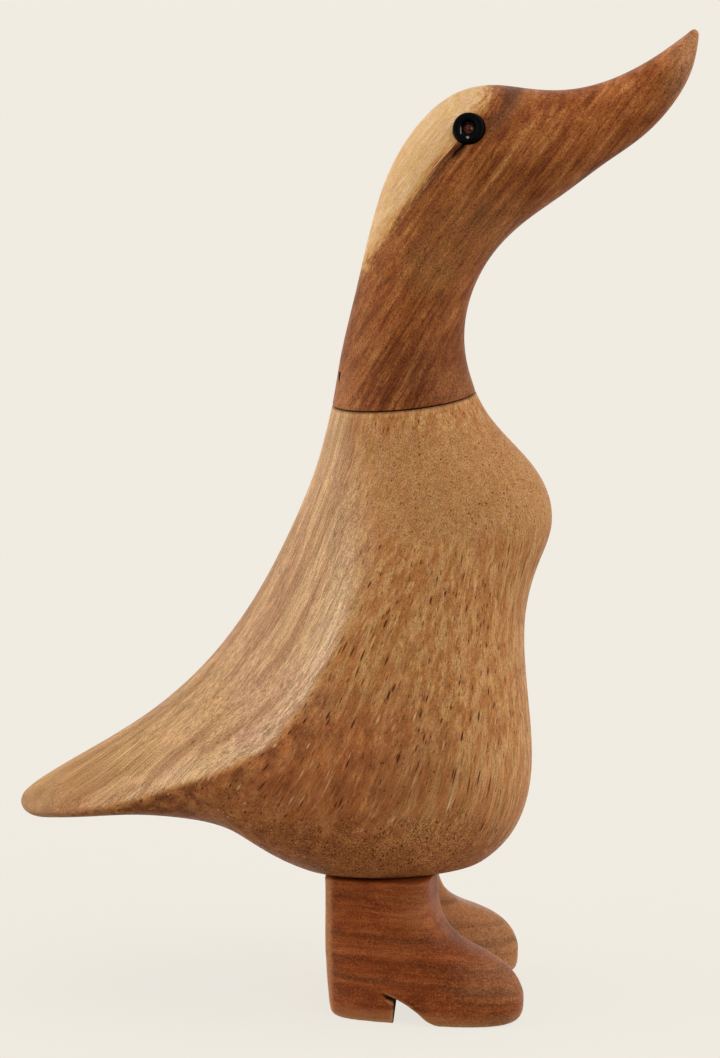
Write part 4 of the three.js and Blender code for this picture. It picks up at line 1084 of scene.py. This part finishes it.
    # grime drawn into the wood round the split by the right eye
    split = g.v("MULTIPLY", g.v("SUBTRACT", g.attr("layer", "Vector"), (-1.4, -16.5, -0.9)), (1 / 1.35, 1 / 5, 1 / 3.6))
    split = g.node("ShaderNodeVectorMath", {"operation": "LENGTH"}, i0=split).outputs["Value"]
    split = g.range(g.m("ADD", split, g.m("MULTIPLY", g.m("SUBTRACT", fine, 0.5), 0.8)), 1.15, 0.45)
    col = g.mix(g.m("MULTIPLY", split, 0.8), col, rgb("#35190d"))
    nick = g.v("MULTIPLY", g.v("SUBTRACT", place, (-4.2, -2.6, 169.4)), (1 / 0.7, 1 / 2.6, 1 / 1.6))
    nick = g.node("ShaderNodeVectorMath", {"operation": "LENGTH"}, i0=nick).outputs["Value"]
    col = g.mix(g.m("MULTIPLY", g.range(nick, 1.1, 0.5), 0.75), col, rgb("#35190d"))
    rough = g.m("ADD", g.m("MULTIPLY_ADD", fine, 0.12, 0.50), g.m("MULTIPLY", pores, 0.2))
    height = g.m("SUBTRACT", g.m("ADD", g.m("MULTIPLY", fine, 0.3), g.m("MULTIPLY", grit, 0.12)), g.m("MULTIPLY", pores, 0.7))
    return g.finish(col, rough, height, 0.00009, 0.08)


def boot_wood():
    """red-brown timber with level grain, paler where edges are worn, dusty over the toes with a painted sheen there; a
    painted highlight down the back corner, the far boot painted paler as if better lit, and painted shade on the sawn
    heel breast
    """
    g = Graph("boot_wood")
    P = g.attr("wood", "Vector")
    edge = g.attr("edge")
    x, y, z = g.sep(P)
    w1 = g.v("MULTIPLY", g.v("SUBTRACT", g.noise(g.v("MULTIPLY", P, (1 / 40, 1 / 14, 1 / 14)), 1.5, 0.5, out=1), (.5, .5, .5)), (0, 2.0, 3.0))
    P1 = g.v("ADD", P, w1)
    _, _, zz = g.sep(g.v("ADD", P1, g.v("MULTIPLY", P, (0.035, 0, 0))))
    band = g.noise(g.v("MULTIPLY", P1, (1 / 60, 1 / 24, 1 / 3.2)), 2.0, 0.55)
    band2 = g.noise(g.v("MULTIPLY", P1, (1 / 13, 1 / 5, 1 / 0.9)), 2.0, 0.6)
    fine = g.noise(g.v("MULTIPLY", P1, (1 / 2.2, 1 / 0.4, 1 / 0.36)), 1.5, 0.6)
    grit = g.noise(g.v("MULTIPLY", P, (1 / 0.36, 1 / 0.36, 1 / 0.36)), 1.5, 0.5)
    cloud = g.noise(g.v("MULTIPLY", P1, (1 / 9, 1 / 6, 1 / 4.5)), 2.5, 0.55)
    mixf = g.m("ADD", g.m("ADD", g.m("MULTIPLY", band, 0.34), g.m("MULTIPLY", band2, 0.30)), g.m("MULTIPLY", cloud, 0.36))
    col = g.ramp(mixf, [(0.33, rgb("#61280e")), (0.44, rgb("#7d3916")), (0.51, rgb("#8c441c")), (0.58, rgb("#995126")),
                        (0.68, rgb("#a96437"))])
    # painted light: the far boot made paler and more tan, as if better lit than the near one
    tone = g.attr("tone")
    col = g.mix(g.m("MULTIPLY", tone, 0.52), col, rgb("#c18a5b"))
    # dark growth bands at their own heights
    sink = g.m("ADD", g.m("ADD", z, g.m("MULTIPLY", x, 0.07)), g.m("MULTIPLY", g.m("SUBTRACT", cloud, 0.5), 3.0))
    for height, wide, deep in ((34.5, 1.3, 0.30), (23.4, 1.2, 0.50), (17.0, 1.1, 0.42), (11.7, 1.5, 0.58), (8.6, 0.6, 0.3)):
        ring = g.range(g.m("ABSOLUTE", g.m("SUBTRACT", sink, height)), wide, wide * 0.25)
        ring = g.m("MULTIPLY", ring, g.m("MULTIPLY_ADD", g.range(band2, 0.3, 0.65), 0.8, 0.2))
        col = g.mix(g.m("MULTIPLY", ring, deep), col, rgb("#35150a"))
    col = g.mix(g.m("MULTIPLY", g.range(fine, 0.47, 0.25), 0.32), col, rgb("#45200e"))
    col = g.mix(g.m("MULTIPLY", g.range(fine, 0.53, 0.75), 0.20), col, rgb("#b4713a"))
    col = g.mix(g.m("MULTIPLY", g.range(grit, 0.47, 0.27), 0.5), col, rgb("#3a190a"))
    col = g.mix(g.m("MULTIPLY", g.range(grit, 0.53, 0.73), 0.32), col, rgb("#bf7f47"))
    # dust over the toe and instep with a painted sheen: the greyish film stands partly for dust, partly for soft
    # reflected light
    dust_and_sheen = g.m("MULTIPLY", g.range(x, 16, 34), g.range(z, 2, 12))
    dust_and_sheen = g.m("MAXIMUM", dust_and_sheen, g.m("MULTIPLY", g.m("MULTIPLY", g.range(x, 4, 15), g.range(z, 14, 28)), 0.5))
    dust_and_sheen = g.m("MULTIPLY", dust_and_sheen, g.m("MULTIPLY_ADD", g.range(grit, 0.35, 0.6), 0.5, 0.5))
    dust_and_sheen = g.m("MULTIPLY", dust_and_sheen, g.range(z, 19, 8, 0.60, 1.0))
    col = g.mix(g.m("MULTIPLY", dust_and_sheen, g.m("MULTIPLY_ADD", cloud, 0.85, 0.06)), col, rgb("#977250"))
    lumpy = g.noise(g.v("MULTIPLY", P, (1 / 1.0, 1 / 1.0, 1 / 0.85)), 1.5, 0.6)
    wear_and_highlight = g.m("MULTIPLY", g.range(edge, 0.12, 0.55), g.range(band2, 0.25, 0.6))
    wear_and_highlight = g.m("MULTIPLY", wear_and_highlight, g.range(z, 36.6, 33.0))
    wear_and_highlight = g.m("MAXIMUM", wear_and_highlight, g.m("MULTIPLY", g.range(z, 1.05, 0.35), g.m("MULTIPLY_ADD", band2, 0.9, 0.2)))
    # painted highlight: a pale strip down the rounded back corner, where light from behind catches it
    back = g.m("MULTIPLY", g.range(g.m("ADD", x, g.m("MULTIPLY", g.m("SUBTRACT", band2, 0.5), 1.4)), -9.0, -10.7), g.m("MULTIPLY_ADD", lumpy, 0.9, 0.25))
    wear_and_highlight = g.m("MAXIMUM", g.m("MULTIPLY", wear_and_highlight, 0.75), g.m("MULTIPLY", back, 0.9))
    col = g.mix(wear_and_highlight, col, rgb("#b17c4e"))
    toe = g.range(x, 12, 26)
    col = g.gain(col, (g.m("MULTIPLY_ADD", toe, 0.75, 0.25), lumpy), (g.m("MULTIPLY_ADD", toe, 0.5, 0.2), grit))
    col = g.mix(g.m("MULTIPLY", g.range(z, 1.35, 0.55), g.m("MULTIPLY_ADD", lumpy, 1.0, 0.15)), col, rgb("#bd8a58"))
    low = g.m("MULTIPLY", g.range(z, 4.8, 1.0), g.m("MULTIPLY_ADD", g.range(x, 34, 42), 0.22, 0.28))
    col = g.mix(g.m("MULTIPLY", low, g.m("MULTIPLY_ADD", lumpy, 0.8, 0.6)), col, rgb("#b98c63"))
    sawn = g.attr("sawn")
    # painted shade: the sawn heel breast, in the arch's shadow, coloured near black-brown
    col = g.mix(sawn, col, g.ramp(grit, [(0.35, rgb("#1c0f08")), (0.55, rgb("#342013")), (0.78, rgb("#6e5038"))]))
    rough = g.m("ADD", g.m("MULTIPLY_ADD", fine, 0.12, 0.42), g.m("MULTIPLY", g.m("MAXIMUM", dust_and_sheen, g.m("MULTIPLY", sawn, 4.5)), 0.1))
    mat = g.finish(col, rough, g.m("ADD", g.m("MULTIPLY", fine, 0.4), g.m("MULTIPLY", grit, 0.25)), 0.00007, 0.1)
    g.put(g.bsdf.inputs["Specular IOR Level"], g.m("MULTIPLY_ADD", sawn, -0.1, 0.1))
    return mat


def bead_black():
    g = Graph("bead_black")
    rad, hgt = g.attr("rad"), g.attr("hgt")
    P = g.attr("place", "Vector")
    n = g.noise(g.v("MULTIPLY", P, (1.4, 1.4, 1.4)), 2, 0.6)
    n2 = g.noise(g.v("MULTIPLY", P, (2.6, 2.6, 2.6)), 2, 0.6)
    plug = g.m("MULTIPLY", g.range(g.m("ADD", rad, g.m("MULTIPLY", g.m("SUBTRACT", n2, 0.5), 1.6)), 1.45, 1.0), g.range(hgt, 0.1, -0.15))
    col = g.mix(plug, g.ramp(n, [(0.35, rgb("#010202")), (0.7, rgb("#040608"))]), g.ramp(n2, [(0.36, rgb("#120806")), (0.5, rgb("#4f2618")), (0.66, rgb("#8d5640"))]))
    # painted glints: small pale specks over the brown plug
    dot = g.m("MULTIPLY", g.range(n2, 0.64, 0.70), g.m("MULTIPLY", g.range(rad, 2.0, 1.8), g.range(rad, 0.7, 1.1)))
    col = g.mix(g.m("MULTIPLY", dot, 0.6), col, rgb("#8d7a6c"))
    # painted glints: light grey and pinkish specks on the rim and plug of the hole, where light catches
    for cx, cz, rx, rz, tone in ((-2.05, -0.35, 0.17, 0.85, "#c9c6c2"), (-0.25, -2.15, 0.36, 0.28, "#c4bcb4"), (0.8, -0.1, 0.34, 0.3, "#b78474")):
        q = g.v("MULTIPLY", g.v("SUBTRACT", P, (EYE_AT[0] + cx, 0, EYE_AT[2] + cz)), (1 / rx, 0, 1 / rz))
        q = g.node("ShaderNodeVectorMath", {"operation": "LENGTH"}, i0=q).outputs["Value"]
        q = g.range(g.m("ADD", q, g.m("MULTIPLY", g.m("SUBTRACT", n2, 0.5), 2.4)), 1.15, 0.6)
        col = g.mix(g.m("MULTIPLY", q, 0.55), col, rgb(tone))
    rough = g.m("MULTIPLY_ADD", plug, 0.4, g.m("MULTIPLY_ADD", n, 0.2, 0.28))
    return g.finish(col, rough, n, 0.00004, 0.06)


mats = {"root_wood": root_wood(), "head_wood": head_wood_mat(), "boot_wood": boot_wood(), "bead_black": bead_black()}
for ob, node, slot in ((body, "body", "root_wood"), (head, "head", "head_wood"), (boot_right, "boot_right", "boot_wood"),
                       (boot_left, "boot_left", "boot_wood"), (eye_right, "eye_right", "bead_black"),
                       (eye_left, "eye_left", "bead_black")):
    ob.data.materials.clear()
    ob.data.materials.append(mats[slot])
    ob.data.polygons.foreach_set("material_index", np.zeros(len(ob.data.polygons), np.int32))
    ob.data.attributes.new("place", "FLOAT_VECTOR", "POINT").data.foreach_set("vector", vertex_array(ob.data).astype(np.float32).ravel())
    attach(ob, "root")
    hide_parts(node)

# ---------------------------------------------------------------- floor, light, camera
LIGHT, FLOOR_GLOW = 1.27, 0.882
v = np.array([[-9000, -9000, -0.1], [9000, -9000, -0.1], [9000, 9000, -0.1], [-9000, 9000, -0.1]], float)
floor = make_object("floor", v, [[0, 1, 2, 3]], flat=0)
g = Graph("pale_floor")
P = g.node("ShaderNodeTexCoord").outputs["Object"]
n = g.noise(g.v("MULTIPLY", P, (90, 90, 90)), 3, 0.5)
soft = g.ramp(n, [(0.3, rgb("#e9e5dc", 0.13)), (0.7, rgb("#ebe7de", 0.13))])
g.put(g.bsdf.inputs["Emission Color"], rgb("#efebe2"))
g.bsdf.inputs["Emission Strength"].default_value = FLOOR_GLOW
floor.data.materials.append(g.finish(soft, 0.9, None, 0, 0.0))
floor.visible_diffuse = floor.visible_glossy = floor.visible_shadow = False   # a table that throws no light back up

scene = bpy.context.scene
scene.view_settings.view_transform = "Standard"
scene.view_settings.look = "None"

# soft light from broad white screens: behind, left and right, little from the front; pale behind the floor's edge
world = bpy.data.worlds.new("studio")
scene.world = world
world.use_nodes = True
wt = world.node_tree
wt.nodes.clear()
SHARP = 6
SCREENS = [((180, -25), 0.95), ((90, -25), 0.80), ((270, -25), 0.40), ((135, 10), 0.30), ((180, 10), 0.95), ((225, 10), 0.40),
           ((270, 10), 1.80), ((315, 10), 0.60), ((45, 10), 0.62), ((90, 10), 0.22), ((45, 45), 0.75), ((90, 45), 0.75),
           ((0, 90), 0.62)]


def wnode(kind, sets=None, inputs=()):
    nd = wt.nodes.new(kind)
    for k, val in (sets or {}).items():
        setattr(nd, k, val)
    for i, val in enumerate(inputs):
        if val is None:
            continue
        if isinstance(val, bpy.types.NodeSocket):
            wt.links.new(val, nd.inputs[i])
        else:
            nd.inputs[i].default_value = val
    return nd


way = wnode("ShaderNodeTexCoord").outputs["Generated"]
total = None
for (az, el), strength in SCREENS:
    a, e = math.radians(az), math.radians(el)
    d = (math.sin(a) * math.cos(e), -math.cos(a) * math.cos(e), math.sin(e))
    dot = wnode("ShaderNodeVectorMath", {"operation": "DOT_PRODUCT"}, (way, d)).outputs["Value"]
    lobe = wnode("ShaderNodeMath", {"operation": "POWER"}, (wnode("ShaderNodeMath", {"operation": "MAXIMUM"}, (dot, 0.0)).outputs[0], SHARP)).outputs[0]
    lobe = wnode("ShaderNodeMath", {"operation": "MULTIPLY"}, (lobe, strength * (SHARP + 1) / (2 * math.pi) * LIGHT)).outputs[0]
    total = lobe if total is None else wnode("ShaderNodeMath", {"operation": "ADD"}, (total, lobe)).outputs[0]
lit = wnode("ShaderNodeBackground", None, (rgb("#fffaf3"), total)).outputs[0]
pale = wnode("ShaderNodeBackground", None, (rgb("#efebe2"), 1.0)).outputs[0]
seen = wnode("ShaderNodeLightPath").outputs["Is Camera Ray"]
mixed = wnode("ShaderNodeMixShader", None, (seen, lit, pale)).outputs[0]
wnode("ShaderNodeOutputWorld", None, (mixed,))

cam = bpy.data.cameras.new("camera")
cam.lens, cam.sensor_width, cam.sensor_fit = 186.84, 36.0, "AUTO"
cam.clip_start, cam.clip_end = 0.05, 60
camera = bpy.data.objects.new("camera", cam)
camera.location = (0.00115, -1.430, 0.41349)
camera.rotation_euler = (math.radians(90 - 11.3), 0, 0)
scene.collection.objects.link(camera)
scene.camera = camera
